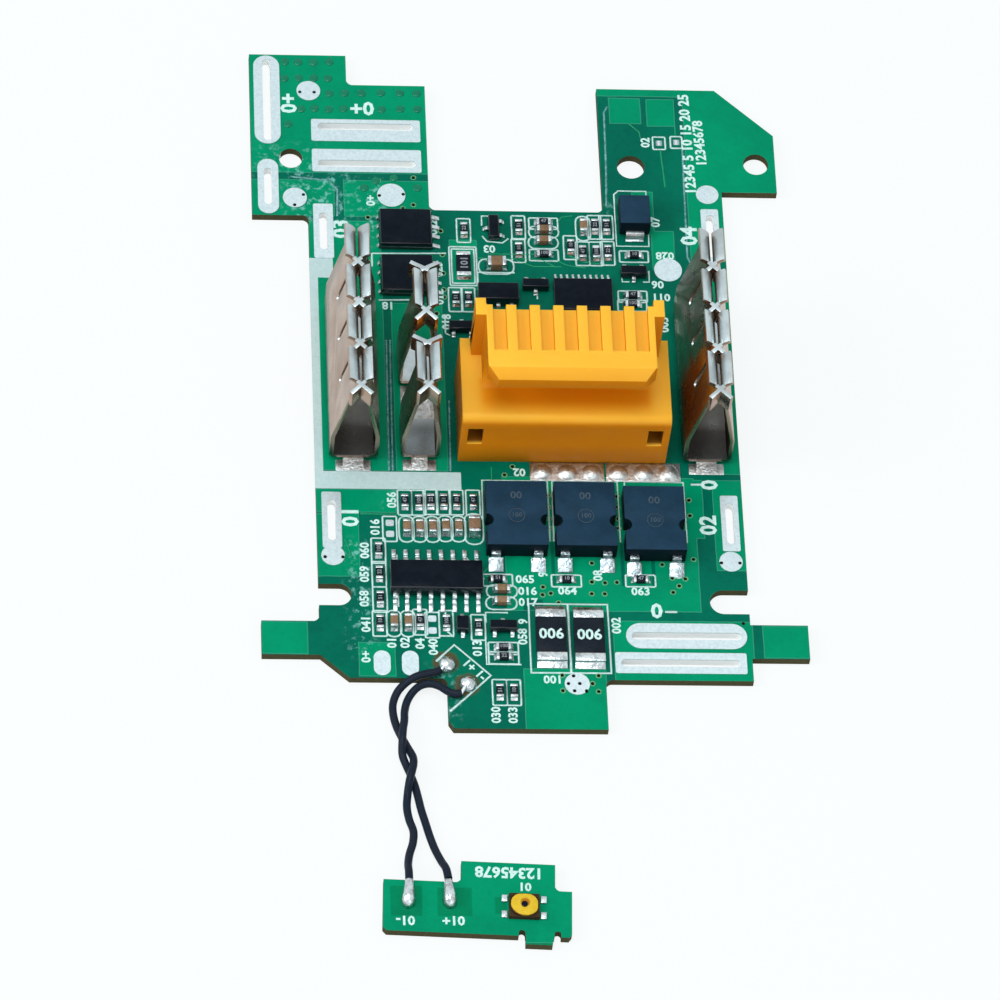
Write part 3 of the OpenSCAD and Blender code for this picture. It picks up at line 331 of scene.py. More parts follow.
# Slots whose pale walls are painted white as lit, and places where flux has left a pale haze
PALE_WALL_SLOTS = [(-28.8, 22.2, -26, 43.9), (-22.5, 28, -10.4, 35.2), (-22.5, 16.3, -20.4, 23.6),
                (-22.5, -21.6, -20.4, -14.5), (20.6, -21.6, 22.6, -14.4),
                (20.6, 16.3, 22.5, 23.6), (8.4, -37.1, 22.6, -30.8)]
HAZE = [(-29, 27, -20, 31.5), (-26, 21, -18, 28.5), (-18, 18, -14, 27),
        (-20.2, -35, -17.2, -20.5), (-11.5, -43.5, -8.5, -36.5), (-15.8, -16.5, -14.4, -14.4),
        (9.8, 22.5, 11, 25)]
# Where the two leads are soldered to the main board, on its top face
LEAD_JOINTS = [(-9.77, -35.89, 1), (-7.6, -38.71, 1)]


def outside(place, area):
    """How far a place lies outside a rectangle seen from above; negative within."""
    left, front, right, rear = area
    centre = ((left + right) / 2, (front + rear) / 2, 0)
    half = ((right - left) / 2, (rear - front) / 2, 0)
    away = place.vector("SUBTRACT", place, centre)
    away = place.node("VectorMath", {"operation": "ABSOLUTE"}, {0: away})
    away = place.vector("SUBTRACT", away, half)
    return place.maths("MAXIMUM", axis(away, "X"), axis(away, "Y"))


def nearest(place, areas):
    """The distance to the nearest of several rectangles."""
    found = outside(place, areas[0])
    for area in areas[1:]:
        found = place.maths("MINIMUM", found, outside(place, area))
    return found


# %% Solder mask over laminate and over copper
MASK_OVER_COPPER = ((0.0, 0.275, 0.130), (0.0, 0.205, 0.100))
MASK_OVER_LAMINATE = ((0.0, 0.150, 0.088), (0.0, 0.098, 0.064))
SWITCH_OVER_LAMINATE = ((0.0, 0.21, 0.090), (0.0, 0.155, 0.072))
RIDGE_GREEN = (0.10, 0.42, 0.30)
HAZE_GREEN, BURNT_BROWN = (0.27, 0.64, 0.62), (0.10, 0.055, 0.022)
# The core browns are painted dark as shade; the pale slot walls are painted white as lit.
SHADED_CORE_BROWNS = ((0.040, 0.046, 0.020), (0.10, 0.085, 0.042))
LIT_PALE_WALL = (0.93, 0.96, 0.95)
# Height above which the board is lacquer, and half the copper's soft edge, in millimetres
CORE_TOP, SOFT_EDGE = 0.98, 0.06


def mask_finish(name, copper_areas, gaps, over_laminate):
    """Green lacquer over the copper and round it; returns its colour signal too."""
    material, place = finish(name, IOR=1.5, Specular_IOR_Level=0.04)
    cloud = noise(place, 0.12, 4.0, 0.6).between(0.35, 0.65)
    speck = noise(place, 1.6, 5.0, 0.7).between(0.45, 0.75)
    mottle = cloud * 0.6 + speck * 0.4
    wobble = (noise(place, 0.6, 2.0) - 0.5) * 0.12
    edge = nearest(place, copper_areas) + wobble
    copper = 1 - edge.between(-SOFT_EDGE, SOFT_EDGE)
    copper = copper * (nearest(place, gaps) + wobble).between(-SOFT_EDGE, SOFT_EDGE)
    bare, coated = mottle.paint(*over_laminate), mottle.paint(*MASK_OVER_COPPER)
    colour = copper.paint(bare, coated)
    ridge = 1 - place.maths("ABSOLUTE", edge).between(0.0, 0.09)
    colour = (ridge * 0.35).paint(colour, RIDGE_GREEN)
    ripple = noise(place, 0.9, 5.0, 0.6)
    relief = ripple + copper * 0.8
    feed(material, Normal=bump(relief, 0.25, 0.05))
    return material, place, colour, ripple


def core_finish(material, place, colour, ripple):
    """Adds the sawn brown core under the lacquer, painted dark as shade, with pale slot walls
    painted white as lit, and the sheen of both.
    """
    top = axis(place, "Z") > CORE_TOP
    # Painted shade: the sawn core is painted dark brown on the board's edges and in its holes.
    core = noise(place, 3.0, 4.0).paint(*SHADED_CORE_BROWNS)
    pale_walls = nearest(place, PALE_WALL_SLOTS) < 0.0
    # Painted light: the walls of these slots are pale fibre painted white as lit.
    core = pale_walls.paint(core, LIT_PALE_WALL)
    feed(material, Base_Color=top.paint(core, colour),
         Roughness=0.14 + ripple * 0.14 + (1 - top) * 0.5)


# %% The main board's mask, with flux haze and a burnt ring round each lead's joint
board_mask, place, colour, ripple = mask_finish(
    "board_solder_mask", BOARD_COPPER, BOARD_GAPS, MASK_OVER_LAMINATE)
cloudy = 1 - nearest(place, HAZE).between(-1.8, 0.9)
haze = cloudy * noise(place, 1.1, 5.0, 0.7).between(0.51, 0.64)
colour = (haze * 0.6).paint(colour, HAZE_GREEN)
for joint in LEAD_JOINTS:
    reach = place.vector("DISTANCE", place, joint, out="Value")
    burnt = 1 - (reach - 1.0 + noise(place, 1.2) * 0.5).between(0.4, 0.85)
    colour = (burnt * 0.8).paint(colour, BURNT_BROWN)
core_finish(board_mask, place, colour, ripple)

# %% The switch board's mask, and lacquer for raised tracks
switch_mask, place, colour, ripple = mask_finish(
    "switch_board_solder_mask", SWITCH_COPPER, SWITCH_GAPS, SWITCH_OVER_LAMINATE)
core_finish(switch_mask, place, colour, ripple)
track_mask, place = finish("raised_track_mask", IOR=1.5, Specular_IOR_Level=0.15)
feed(track_mask,
     Base_Color=noise(place, 1.6, 4.0).paint((0.0, 0.36, 0.17), (0.02, 0.24, 0.11)),
     Roughness=0.16 + noise(place, 0.9) * 0.2)
print("solder mask finishes, with", len(board_mask.node_tree.nodes), "nodes on the board")

# %% [markdown]
# ## Tin and solder
#
# Pads are dipped in tin, which freezes with a faintly cloudy, hammered skin. Solder joints
# are brighter and wetter. Both are metals: the colour tints the reflection, and small
# bumps break it up.


# %% Tinned copper and solder
def metal_finish(name, light, dark, low, high, grain, depth, stain=None):
    """A bright metal with a cloudy skin, and stains of flux where they are asked for."""
    material, place = finish(name, Metallic=1.0)
    cloud = noise(place, grain, 4.0, 0.6)
    colour = cloud.between(0.35, 0.7).paint(light, dark)
    if stain:
        colour = (noise(place, 0.9, 4.0, 0.7).between(0.52, 0.66) * 0.7).paint(colour, stain)
    feed(material, Base_Color=colour, Roughness=low + cloud * (high - low),
         Normal=bump(noise(place, grain * 2.2), 0.5, depth))
    return material


tin = metal_finish(
    "tinned_pad", (0.60, 0.71, 0.75), (0.49, 0.60, 0.64), low=0.32, high=0.5, grain=3.2,
    depth=0.03)
solder = metal_finish(
    "solder", (0.66, 0.73, 0.76), (0.36, 0.40, 0.42), low=0.12, high=0.34, grain=1.4,
    depth=0.12)
row_solder = metal_finish(
    "stained_solder", (0.62, 0.67, 0.68), (0.42, 0.44, 0.44), low=0.25, high=0.5, grain=1.8,
    depth=0.12, stain=(0.33, 0.31, 0.28))
pin_metal = metal_finish(
    "chip_leads", (0.62, 0.70, 0.73), (0.36, 0.38, 0.40), low=0.25, high=0.5, grain=2.5,
    depth=0.03)
foot_metal = metal_finish(
    "soldered_feet", (0.42, 0.50, 0.53), (0.15, 0.19, 0.21), low=0.18, high=0.4, grain=1.5,
    depth=0.14)

# %% [markdown]
# ## Terminal sheet
#
# The fork terminals are plated spring sheet. Their upright walls are painted pinkish brown,
# a painted reflection of the warm room, while the bent tips and lips, which look up at the
# lamps, are painted nearly white as lit. The hollow at the front, between the two walls, is
# painted near black as shade.

# %% Painted reflections and light by the way a face looks, and painted shade by its place
WALL_REFLECTION_TONES = ((0.42, 0.305, 0.235), (0.35, 0.25, 0.19))
LIT_LIP_TONES = ((0.56, 0.66, 0.69), (0.42, 0.48, 0.50))
HOLLOW_SHADE = (0.03, 0.032, 0.038)
sheet, place = finish("terminal_sheet", Metallic=1.0)
smear = noise(place, 0.35, 3.0, 0.5)
# Painted light: faces that look up take the lit lip tones, upright faces the painted wall
# reflection tones.
lit = facing_up(place, 0.25, 0.8)
wall = smear.between(0.35, 0.65).paint(*WALL_REFLECTION_TONES)
lip = smear.between(0.35, 0.65).paint(*LIT_LIP_TONES)
# Painted shade: the hollow at the front is painted near black, most at mid height, less near the
# foot, and fading out higher up.
shaded_scoop = 1 - axis(place, "Y").between(-7.0, -5.2)
depth = shaded_scoop * (1 - (axis(place, "Z") + smear * 2).between(2.6, 6.6))
depth = depth * (0.4 + axis(place, "Z").between(1.3, 2.7) * 0.45)
feed(sheet, Base_Color=depth.paint(lit.paint(wall, lip), HOLLOW_SHADE),
     Roughness=0.2 + smear * 0.18, Normal=bump(noise(place, 0.5), 0.2, 0.01))
print("bright metals and the terminal sheet")

# %% [markdown]
# ## Moulded plastics
#
# Chip bodies are black epoxy with a fine sandy skin, and lacquer makes their sides and
# broken edges glossy. The large transistors' tops are painted slate blue as lit, and their
# sides are painted nearly black as shade. So both ask which way a face looks.


# %% Chip bodies and ceramic parts
def mould_finish(name, light, dark, low, high, grain=4.0, depth=0.02, shaded_side=None,
                 glossy_edges=False):
    """Moulded skin; upright faces may take a painted shade colour or a glossy coat."""
    material, place = finish(name, Specular_IOR_Level=0.06, Coat_Roughness=0.12)
    fine = noise(place, grain, 5.0, 0.7)
    stain = noise(place, 0.5, 3.0)
    colour = (fine * 0.5 + stain * 0.5).between(0.35, 0.65).paint(light, dark)
    # Painted shade: upright faces take the darker side colour, and faces that look up keep the lit
    # colour.
    if shaded_side:
        colour = facing_up(place, 0.5, 0.9).paint(shaded_side, colour)
    feed(material, Base_Color=colour, Roughness=low + fine * (high - low),
         Normal=bump(fine, 0.4, depth))
    if glossy_edges:
        feed(material, Coat_Weight=1 - facing_up(place, 0.80, 0.97))
    return material


# The slate blue tops are painted as lit, and the near-black sides are painted as shade.
slate = mould_finish(
    "slate_epoxy", (0.013, 0.044, 0.082), (0.009, 0.031, 0.057), low=0.35, high=0.6,
    grain=6.0, depth=0.015, shaded_side=(0.003, 0.010, 0.017))
black = mould_finish(
    "black_epoxy", (0.002, 0.005, 0.010), (0.005, 0.009, 0.015), low=0.1, high=0.3,
    grain=1.5, depth=0.05, glossy_edges=True)
dark_glaze = mould_finish(
    "dark_glaze", (0.006, 0.010, 0.017), (0.012, 0.018, 0.026), low=0.2, high=0.4)
tan_ceramic = mould_finish(
    "tan_ceramic", (0.27, 0.175, 0.10), (0.17, 0.105, 0.06), low=0.3, high=0.55)
brown_frame = mould_finish(
    "brown_frame", (0.05, 0.030, 0.016), (0.03, 0.018, 0.01), low=0.3, high=0.5)
lead_skin = mould_finish(
    "lead_insulation", (0.008, 0.015, 0.028), (0.014, 0.020, 0.032), low=0.22, high=0.4,
    grain=3.0, depth=0.01)

# %% [markdown]
# The push switch's button is a round yellow film with a brown rim and a burnt orange
# middle. Three colours by the distance from its centre are enough.

# %% Yellow film of the button
BUTTON_CENTRE = (-2.5, -65.6, 0)
FILM_YELLOWS = ((0.76, 0.55, 0.04), (0.58, 0.37, 0.02))
MIDDLE_ORANGE, RIM_BROWN = (0.42, 0.16, 0.01), (0.07, 0.035, 0.014)
yellow_button, place = finish("yellow_button", Specular_IOR_Level=0.06, Coat_Roughness=0.12)
flat_place = place.vector("MULTIPLY", place, (1, 1, 0))
reach = place.vector("DISTANCE", flat_place, BUTTON_CENTRE, out="Value")
film = noise(place, 2.0).paint(*FILM_YELLOWS)
film = (1 - reach.between(0.35, 0.62)).paint(film, MIDDLE_ORANGE)
film = reach.between(1.48, 1.62).paint(film, RIM_BROWN)
fine = noise(place, 4.0, 5.0, 0.7)
feed(yellow_button, Base_Color=film, Roughness=0.3 + fine * 0.2,
     Normal=bump(fine, 0.4, 0.02))

# %% [markdown]
# The connector is smooth amber nylon that lets a little light in. Its top faces are
# painted brighter as lit and its flanks deeper as shaded, the recess under its top plate is
# painted a glowing orange for the light that goes round in it, and its two small core
# holes are painted dark as shade.

# %% Amber connector plastic
SHADED_FLANKS = ((0.74, 0.245, 0.004), (0.68, 0.21, 0.003))
LIT_CROWNS = ((0.92, 0.50, 0.045), (0.90, 0.45, 0.035))
RECESS_GLOW_PAINT, HOLE_SHADE_BROWN = (0.90, 0.33, 0.006), (0.20, 0.060, 0.003)
# The housing's middle, its recess and its core holes, in millimetres
HOUSING_X = 3.65
RECESS_REAR, RECESS_FLOOR, RECESS_ROOF = -4.9, 8.6, 13.3
HOLE_SIDE, HOLE_TOP = 10.9, 8.4
amber, place = finish("amber_nylon", Subsurface_Weight=0.2, Subsurface_Scale=0.0015,
                      Specular_IOR_Level=0.1)
surface = amber.node_tree.nodes["Principled BSDF"]
surface.inputs["Subsurface Radius"].default_value = (1, 0.4, 0.1)
grain = noise(place, 3.0, 4.0, 0.6)
tint = noise(place, 0.25, 2.0)
# Painted light: faces that look up take the brighter crown tones as lit, and upright flanks the
# deeper shaded tones.
skin = facing_up(place, 0.05, 0.97).paint(tint.paint(*SHADED_FLANKS), tint.paint(*LIT_CROWNS))
sideways = place.maths("ABSOLUTE", axis(place, "X") - HOUSING_X)
inward, height = axis(place, "Y"), axis(place, "Z")
# Painted light: the recess under the top plate is painted a glowing orange for the light that goes
# round in it.
recess = (inward.between(-10.0, -7.4) * (inward < RECESS_REAR)
          * (1 - sideways.between(8.6, 9.8)))
recess = recess * (height < RECESS_ROOF) * (height > RECESS_FLOOR)
skin = recess.paint(skin, RECESS_GLOW_PAINT)
# Painted shade: the two core holes are painted dark brown.
hole = inward.between(-10.26, -9.7) * (sideways < HOLE_SIDE) * (height < HOLE_TOP)
skin = (hole * 0.9).paint(skin, HOLE_SHADE_BROWN)
feed(amber, Base_Color=skin, Roughness=0.32 + grain * 0.12, Normal=bump(grain, 0.2, 0.02))
print("plastics ready")

# %% [markdown]
# ## Dressing the CAD nodes
#
# Real edges are never razor sharp: a thin bevel catches the light and makes a part read
# as solid. The CAD mesh itself is left alone. A welded copy of it takes the bevel and
# stands in its place. Flat pads, the boards and the hidden dome keep their CAD mesh.

# %% A bevelled stand-in for a node
WELD, FLAT_ANGLE, BEVEL_ANGLE = 0.002 * MM, math.radians(1), math.radians(30)
SMOOTH = 35


def dressed(node, material, width, angle=SMOOTH, body="board"):
    """A welded copy of a node with broken edges and its finish."""
    piece = bpy.data.objects.new(node + "_dressed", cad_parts[node].data.copy())
    bpy.context.collection.objects.link(piece)
    select_only(piece)
    bpy.ops.object.mode_set(mode="EDIT")
    bpy.ops.mesh.select_all(action="SELECT")
    bpy.ops.mesh.remove_doubles(threshold=WELD)
    bpy.ops.mesh.dissolve_limited(angle_limit=FLAT_ANGLE)
    bpy.ops.object.mode_set(mode="OBJECT")
    bevel = piece.modifiers.new("edges", "BEVEL")
    bevel.width = width * MM
    bevel.segments = 2
    bevel.limit_method = "ANGLE"
    bevel.angle_limit = BEVEL_ANGLE
    bpy.ops.object.modifier_apply(modifier="edges")
    bpy.ops.object.shade_smooth_by_angle(angle=math.radians(angle))
    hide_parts(node)
    settle(piece, material, body)
    return piece


# %% Finish every node
OWN_MESH = [("main_board", board_mask), ("switch_board", switch_mask), ("tab_pads", tin),
            ("test_pads", tin), ("push_switch_dome", solder)]
# Nodes, finish, bevel in millimetres, slot, and the angle up to which edges look smooth
WELDED = [
    ("terminal_solder connector_solder", row_solder, 0.02, "tin", 60),
    ("main_lead_solder", solder, 0.02, "tin", 60),
    ("power_terminal_left power_terminal_right signal_terminal_rear signal_terminal_front",
     sheet, 0.06, "terminal", SMOOTH),
    ("connector_housing", amber, 0.12, "housing", SMOOTH),
    ("power_fet_1 power_fet_2 power_fet_3 clamp_diode", slate, 0.08, "mould", SMOOTH),
    ("controller_chip monitor_chip switch_chip_1 switch_chip_2 regulator small_transistors "
     "signal_diode", black, 0.11, "mould", SMOOTH),
    ("fet_frame_1 fet_frame_2 fet_frame_3", foot_metal, 0.03, "tin", SMOOTH),
    ("controller_leads monitor_leads switch_chip_leads clamp_diode_tabs regulator_leads "
     "small_transistor_leads signal_diode_leads push_switch_legs", pin_metal, 0.03, "tin",
     SMOOTH),
    ("shunt_ends chip_ends large_resistor_ends large_capacitor_ends", solder, 0.05, "tin",
     SMOOTH),
    ("shunt_1 shunt_2 chip_resistors large_resistor", dark_glaze, 0.04, "ceramic_dark", SMOOTH),
    ("chip_capacitors large_capacitors", tan_ceramic, 0.05, "ceramic_tan", SMOOTH),
    ("push_switch_base push_switch_frame", brown_frame, 0.03, "switch_frame", SMOOTH)]
for node, material in OWN_MESH:
    coat(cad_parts[node], material)
pieces = {node: dressed(node, material, width, angle)
          for nodes, material, width, slot, angle in WELDED for node in nodes.split()}
dressed("push_switch_button", yellow_button, 0.06, body="button")
dressed("push_switch_nub", black, 0.02, body="button")
for lead in (lead_a, lead_b):
    coat(lead, lead_skin)
print("dressed", len(pieces) + 2, "nodes")

# %% [markdown]
# ## Drops of solder on the switch board
#
# Each lead is soldered down with one long drop: as narrow as the lead where it leaves the
# insulation, widest near its front end. A round ball is the natural start. Its poles are
# turned along the lead, and each ring of points is then set to the drop's width and height.

# %% Shape of a teardrop: along it from 0 to 1, and half its width in millimetres
DROP = [(0.0, 0.0), (0.02, 0.26), (0.06, 0.48), (0.12, 0.64), (0.2, 0.74), (0.3, 0.77),
        (0.42, 0.73), (0.6, 0.62), (0.8, 0.50), (1.0, 0.42)]
DROP_FRONT, DROP_REAR = -66.1, -62.75
# X of the front and of the rear end of each drop
DROP_ENDS = [(-14.72, -14.5), (-10.3, -10.42)]
# Height over half width at the front end, and how far the middle rises to the lead's own
DROP_TALL, DROP_LIFT, DROP_RISE = 1.05 / 0.76, 0.48, 1.6
# The board's top, how near a pole counts as the pole, and a guard against dividing by zero
TOP_MM, POLE, TINY = 1.0, 0.9999, 1e-12


def drop_width(t):
    """Half the drop's width in millimetres, from its front end (0) to the lead (1)."""
    for (t0, w0), (t1, w1) in zip(DROP, DROP[1:]):
        if t <= t1:
            return w0 + (w1 - w0) * (t - t0) / (t1 - t0)
    return DROP[-1][1]


# %% Two teardrops
drops = []
for x_front, x_rear in DROP_ENDS:
    bpy.ops.object.select_all(action="DESELECT")
    bpy.ops.mesh.primitive_uv_sphere_add(segments=28, ring_count=24, radius=1)
    drop = bpy.context.object
    bpy.ops.object.mode_set(mode="EDIT")
    bpy.ops.mesh.select_all(action="SELECT")
    bpy.ops.transform.rotate(value=math.radians(90), orient_axis="X", center_override=(0, 0, 0))
    bpy.ops.object.mode_set(mode="OBJECT")
    for vertex in drop.data.vertices:
        across, along, up = vertex.co
        t = 0.5 + math.asin(max(-1, min(1, along))) / math.pi
        ring = math.sqrt(max(across * across + up * up, TINY))
        half = drop_width(t) if abs(along) < POLE else 0.0
        middle = TOP_MM + DROP_LIFT * min(1, t * DROP_RISE)
        z = middle + up / ring * half * (DROP_TALL * (1 - t) + t)
        vertex.co = ((x_front + (x_rear - x_front) * t + across / ring * half) * MM,
                     (DROP_FRONT + (DROP_REAR - DROP_FRONT) * t) * MM, max(z, TOP_MM) * MM)
    bpy.ops.object.shade_smooth()
    drops.append(drop)
drops = joined("switch_solder_drops", drops)
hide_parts("switch_lead_solder")
settle(drops, solder)
print("solder drops:", len(drops.data.polygons), "faces")

# %% [markdown]
# ## White print, tracks and via rings
#
# The white outlines round the parts, the numbers and the broad white band are screen
# printed ink, a few hundredths of a millimetre thick. The raised tracks and the bare rings
# round the vias are as thin. Modelling every line as a box would be slow. A curve draws
# them all at once: many splines in one curve, with a slim round section, made a mesh and
# then pressed flat on the board. The outlines take their places from the chips' own
# meshes, so they follow the CAD.

# %% Ink and ring finishes
BOARD_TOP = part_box("main_board")[1][2]
INK_T = 0.012 * MM


def flat_finish(name, light, dark, roughness):
    """Worn ink: two tones in small clouds."""
    material, place = finish(name, Specular_IOR_Level=0.2)
    worn = noise(place, 2.5, 5.0, 0.7).between(0.3, 0.7)
    feed(material, Base_Color=worn.paint(light, dark), Roughness=roughness + worn * 0.2)
    return material


ink = flat_finish("white_ink", (0.66, 0.88, 0.84), (0.46, 0.70, 0.66), 0.4)
band_ink = flat_finish("pale_band_ink", (0.50, 0.65, 0.65), (0.42, 0.58, 0.57), 0.35)
ring_skin = flat_finish("via_ring", (0.06, 0.38, 0.20), (0.22, 0.44, 0.20), 0.35)
# Painted shade: dark dots stand for the shade inside via holes.
hole_shade = flat_finish("via_hole_shade", (0.002, 0.012, 0.010), (0.004, 0.020, 0.014), 0.7)
mark_ink = flat_finish("laser_mark", (0.058, 0.088, 0.115), (0.030, 0.058, 0.085), 0.6)
seam_ink = flat_finish("pale_seam", (0.02, 0.20, 0.18), (0.24, 0.50, 0.50), 0.35)
grey_ink = flat_finish("grey_ink", (0.30, 0.34, 0.36), (0.2, 0.23, 0.25), 0.5)


# %% Lines pressed flat
def pressed_lines(name, paths, width, material, top=BOARD_TOP):
    """Thin lines lying on a face; a path is (points in millimetres, whether it closes)."""
    in_place = [([(x * MM, y * MM, 0) for x, y in points], closed)
                for points, closed in paths]
    radius = width * MM / 2
    piece = drawn(name, in_place, dimensions="3D", bevel_depth=radius, bevel_resolution=0)
    for vertex in piece.data.vertices:
        vertex.co.z = top + vertex.co.z / radius * INK_T
    settle(piece, material)
    print(name, "has", len(paths), "lines")


def strokes(lines):
    """Open paths, for lines given by their points alone."""
    return [(points, False) for points in lines]


def arc(x, y, r, start, end, steps):
    """Points of an arc in the board's plane, by angles in degrees."""
    angles = [math.radians(start + (end - start) * k / steps) for k in range(steps + 1)]
    return [(x + r * math.cos(angle), y + r * math.sin(angle)) for angle in angles]


def circle(x, y, r, sides):
    """A closed ring."""
    return arc(x, y, r, 0, 360, sides)[:-1], True


def frame_line(x, y, width, length, r):
    """A closed outline with rounded corners round a point."""
    across, along = width / 2 - r, length / 2 - r
    corners = ((across, along, 0), (-across, along, 90), (-across, -along, 180),
               (across, -along, 270))
    return [spot for dx, dy, start in corners
            for spot in arc(x + dx, y + dy, r, start, start + 90, 3)], True


def loose_parts(piece):
    """For each loose part of a welded piece: x, y, width, length and top in millimetres."""
    mesh = piece.data
    root = list(range(len(mesh.vertices)))

    def top_of(i):
        while root[i] != i:
            root[i] = root[root[i]]
            i = root[i]
        return i

    for edge in mesh.edges:
        root[top_of(edge.vertices[0])] = top_of(edge.vertices[1])
    groups = {}
    for vertex in mesh.vertices:
        groups.setdefault(top_of(vertex.index), []).append(vertex.co / MM)
    found = []
    for spots in groups.values():
        low = [min(spot[k] for spot in spots) for k in range(3)]
        high = [max(spot[k] for spot in spots) for k in range(3)]
        found.append(((low[0] + high[0]) / 2, (low[1] + high[1]) / 2,
                      high[0] - low[0], high[1] - low[1], high[2]))
    return found


# %% Outlines round the chips
resistors = loose_parts(pieces["chip_resistors"])
large_resistor = loose_parts(pieces["large_resistor"])
# Bodies, their outline's size along and across a body's longer side, and its corner radius
CHIP_OUTLINES = [
    (resistors, 3.2, 1.5, 0.15), (loose_parts(pieces["chip_capacitors"]), 3.3, 1.6, 0.7),
    (large_resistor, 4.6, 2.5, 0.1), (large_resistor, 5.2, 3, 0.15),
    (loose_parts(pieces["large_capacitors"]), 2, 3.9, 0.8)]
# Outlines with no part in them: x, y, width, length
EMPTY_PLACES = [(-15.25, -19.1, 1.5, 3.2), (-11.05, -31.25, 1.5, 3.2), (16.4, 32.65, 1.4, 1.7),
                (18.35, 32.8, 1.3, 1.6)]
# Left and right of the open frame round each power transistor
FET_FRAMES = [(-5.1, 2), (2.5, 9.6), (10.38, 16.8)]
FET_REAR, FET_LINE_END = -12.72, -20.5
CLAMP_FRAME = [(11, 18.5), (11, 25.5), (11.5, 26), (14.6, 26), (14.6, 18.5)]
SOT_BRACKETS = [
    [(-2.9, 22.3), (-3.9, 22.3), (-3.9, 21)],
    [(-3.9, 19.6), (-3.4, 18.9), (-1.7, 18.7), (-1, 19.3)],
    [(11.4, 15.2), (11.4, 13.7), (12.2, 13.7)], [(14.4, 15.2), (14.4, 13.7), (13.7, 13.7)],
    [(-8.4, 8.8), (-8.4, 6.5), (-7.9, 6.2)], [(-4.6, 14.7), (-0.5, 14.7)],
    [(-4.6, 14.7), (-4.6, 12.8)], [(1.9, 11.2), (1.9, 13.8)],
    [(-2.9, -29.6), (-5.3, -29.6), (-5.3, -30.9)],
    [(-9.6, -29.6), (-9.6, -31.9), (-8.8, -32.7)], [(-5.3, -25.4), (-7.2, -22.6)],
    [(-7.2, -22.9), (-7.2, -24.7)], [(-14.6, -22.4), (-14.6, -29)],
    [(-5.4, -31.4), (-5.4, -36.1), (-1.7, -36.1)], [(-16.2, 17.05), (-8, 17.2)],
    [(-15.6, 10.8), (-11.7, 10.9)], [(-16.2, 17.05), (-16.2, 15.3)]]
outlines = []
for parts, long_side, short_side, r in CHIP_OUTLINES:
    for x, y, width, length, _ in parts:
        sides = (long_side, short_side) if width > length else (short_side, long_side)
        outlines.append(frame_line(x, y, *sides, r))
outlines += [frame_line(*empty, 0.15) for empty in EMPTY_PLACES]
outlines += strokes([[(left - 0.1, FET_LINE_END), (left, FET_REAR), (right, FET_REAR),
                      (right, FET_LINE_END)] for left, right in FET_FRAMES])
outlines.append((CLAMP_FRAME, True))
outlines += strokes(SOT_BRACKETS)
pressed_lines("printed_outlines", outlines, 0.23, ink)

# %% Broad lines: the frame of the shunts and of the lead pads, and two minus signs
SHUNT_FRAME = [(-0.65, -28.45), (7.82, -28.45), (7.87, -37.1), (-0.68, -37.1)]
BROAD_LINES = [[(3.55, -28.5), (3.6, -37.1)],
               [(-10.8, -35.8), (-8.8, -33.7), (-5, -37.5), (-9.5, -42)],
               [(14, -29.3), (15.3, -29.3)], [(17.6, -12.95), (18.9, -12.95)]]
pressed_lines("broad_outlines", [(SHUNT_FRAME, True)] + strokes(BROAD_LINES), 0.32, ink)

# %% Raised tracks, and pale seams along the copper's edge
TRACKS = [
    [(-0.2, 16.4), (1.6, 15.6), (4.7, 15.6)], [(4.1, 16.5), (5.4, 15.8), (7.4, 15.5)],
    [(5.6, 17.1), (7.2, 16.3), (9, 16.1)], [(4.5, 21.5), (5, 22.3), (6.2, 22.5)],
    [(-18.4, -17.2), (-14.4, -17.2), (-13.6, -18)], [(-20.1, -20.5), (-19.4, -22.8)],
    [(-4.6, 16.6), (2.4, 16.6), (4, 15.6)], [(-3.4, 17.2), (3, 17.2)],
    [(-6.9, -26.1), (-4.8, -23.9)], [(-7.4, -26.1), (-6.3, -25), (-4.4, -25)],
    [(13.1, 35.3), (14.2, 34.2), (14.4, 33.2), (15.7, 33.2)], [(16.5, 31.8), (16.8, 26.6)],
    [(18.3, 35), (18.3, 33.6)], [(-13.4, -25.6), (-13.4, -22.8)], [(-4, -11), (-4, -17)],
    [(-4.7, -17.6), (-4.7, -22.6)]]
PALE_SEAMS = [
    [(-14.95, 5.5), (-15.1, -11.6)], [(-8.3, -2.4), (-8.45, -11.6)],
    [(19, 32), (18.8, 17.2), (19.4, 15.4)], [(-14.55, 5.5), (-14.7, -11.6)],
    [(10.8, 37.6), (10.4, 36.8), (10.3, 29.5), (10.1, 23.9)],
    [(-19.9, 22), (-19.8, 25.6), (-20.8, 26.9), (-25, 27.3)]]
pressed_lines("raised_tracks", strokes(TRACKS), 0.2, track_mask)
pressed_lines("pale_seams", strokes(PALE_SEAMS), 0.26, seam_ink)

# %% Rings round the vias
VIAS = [
    (-15.2, 26.9), (-11.3, 27.4), (-11.4, 23.7), (-12.6, 23.2), (-16.5, 21.9), (-16.6, 15.9),
    (-8.5, 20.2), (-8.4, 17), (-8.4, 14.5), (-8.4, 12.3), (-8.4, 11.3), (-9.3, 9.1),
    (-9.5, 2.2), (-1.7, -10.9), (-2.6, -12), (2, -14.6), (2, -16.1), (2, -17.6), (2, -18.8),
    (9.5, -14.6), (9.5, -16), (9.5, -17.5), (9.5, -18.7), (17.3, -15), (17.3, -17),
    (17.4, -22.6), (6.4, -23.2), (14, -23.3), (1, -26.3), (0.9, -27.3), (1.8, -27.1),
    (2.6, -28.3), (6.2, -27.1), (7.6, -27.1), (7.7, -25.7), (9, -25.6), (6.3, -25.6),
    (15, -26.8), (16.4, -25.1), (15.7, -26), (15, -25), (5.8, -38.4), (2.6, -37.4),
    (2.6, -39.3), (6.4, -39.4), (6.5, -37.4)]
pressed_lines("via_rings", [circle(x, y, 0.27, 14) for x, y in VIAS], 0.15, ring_skin)

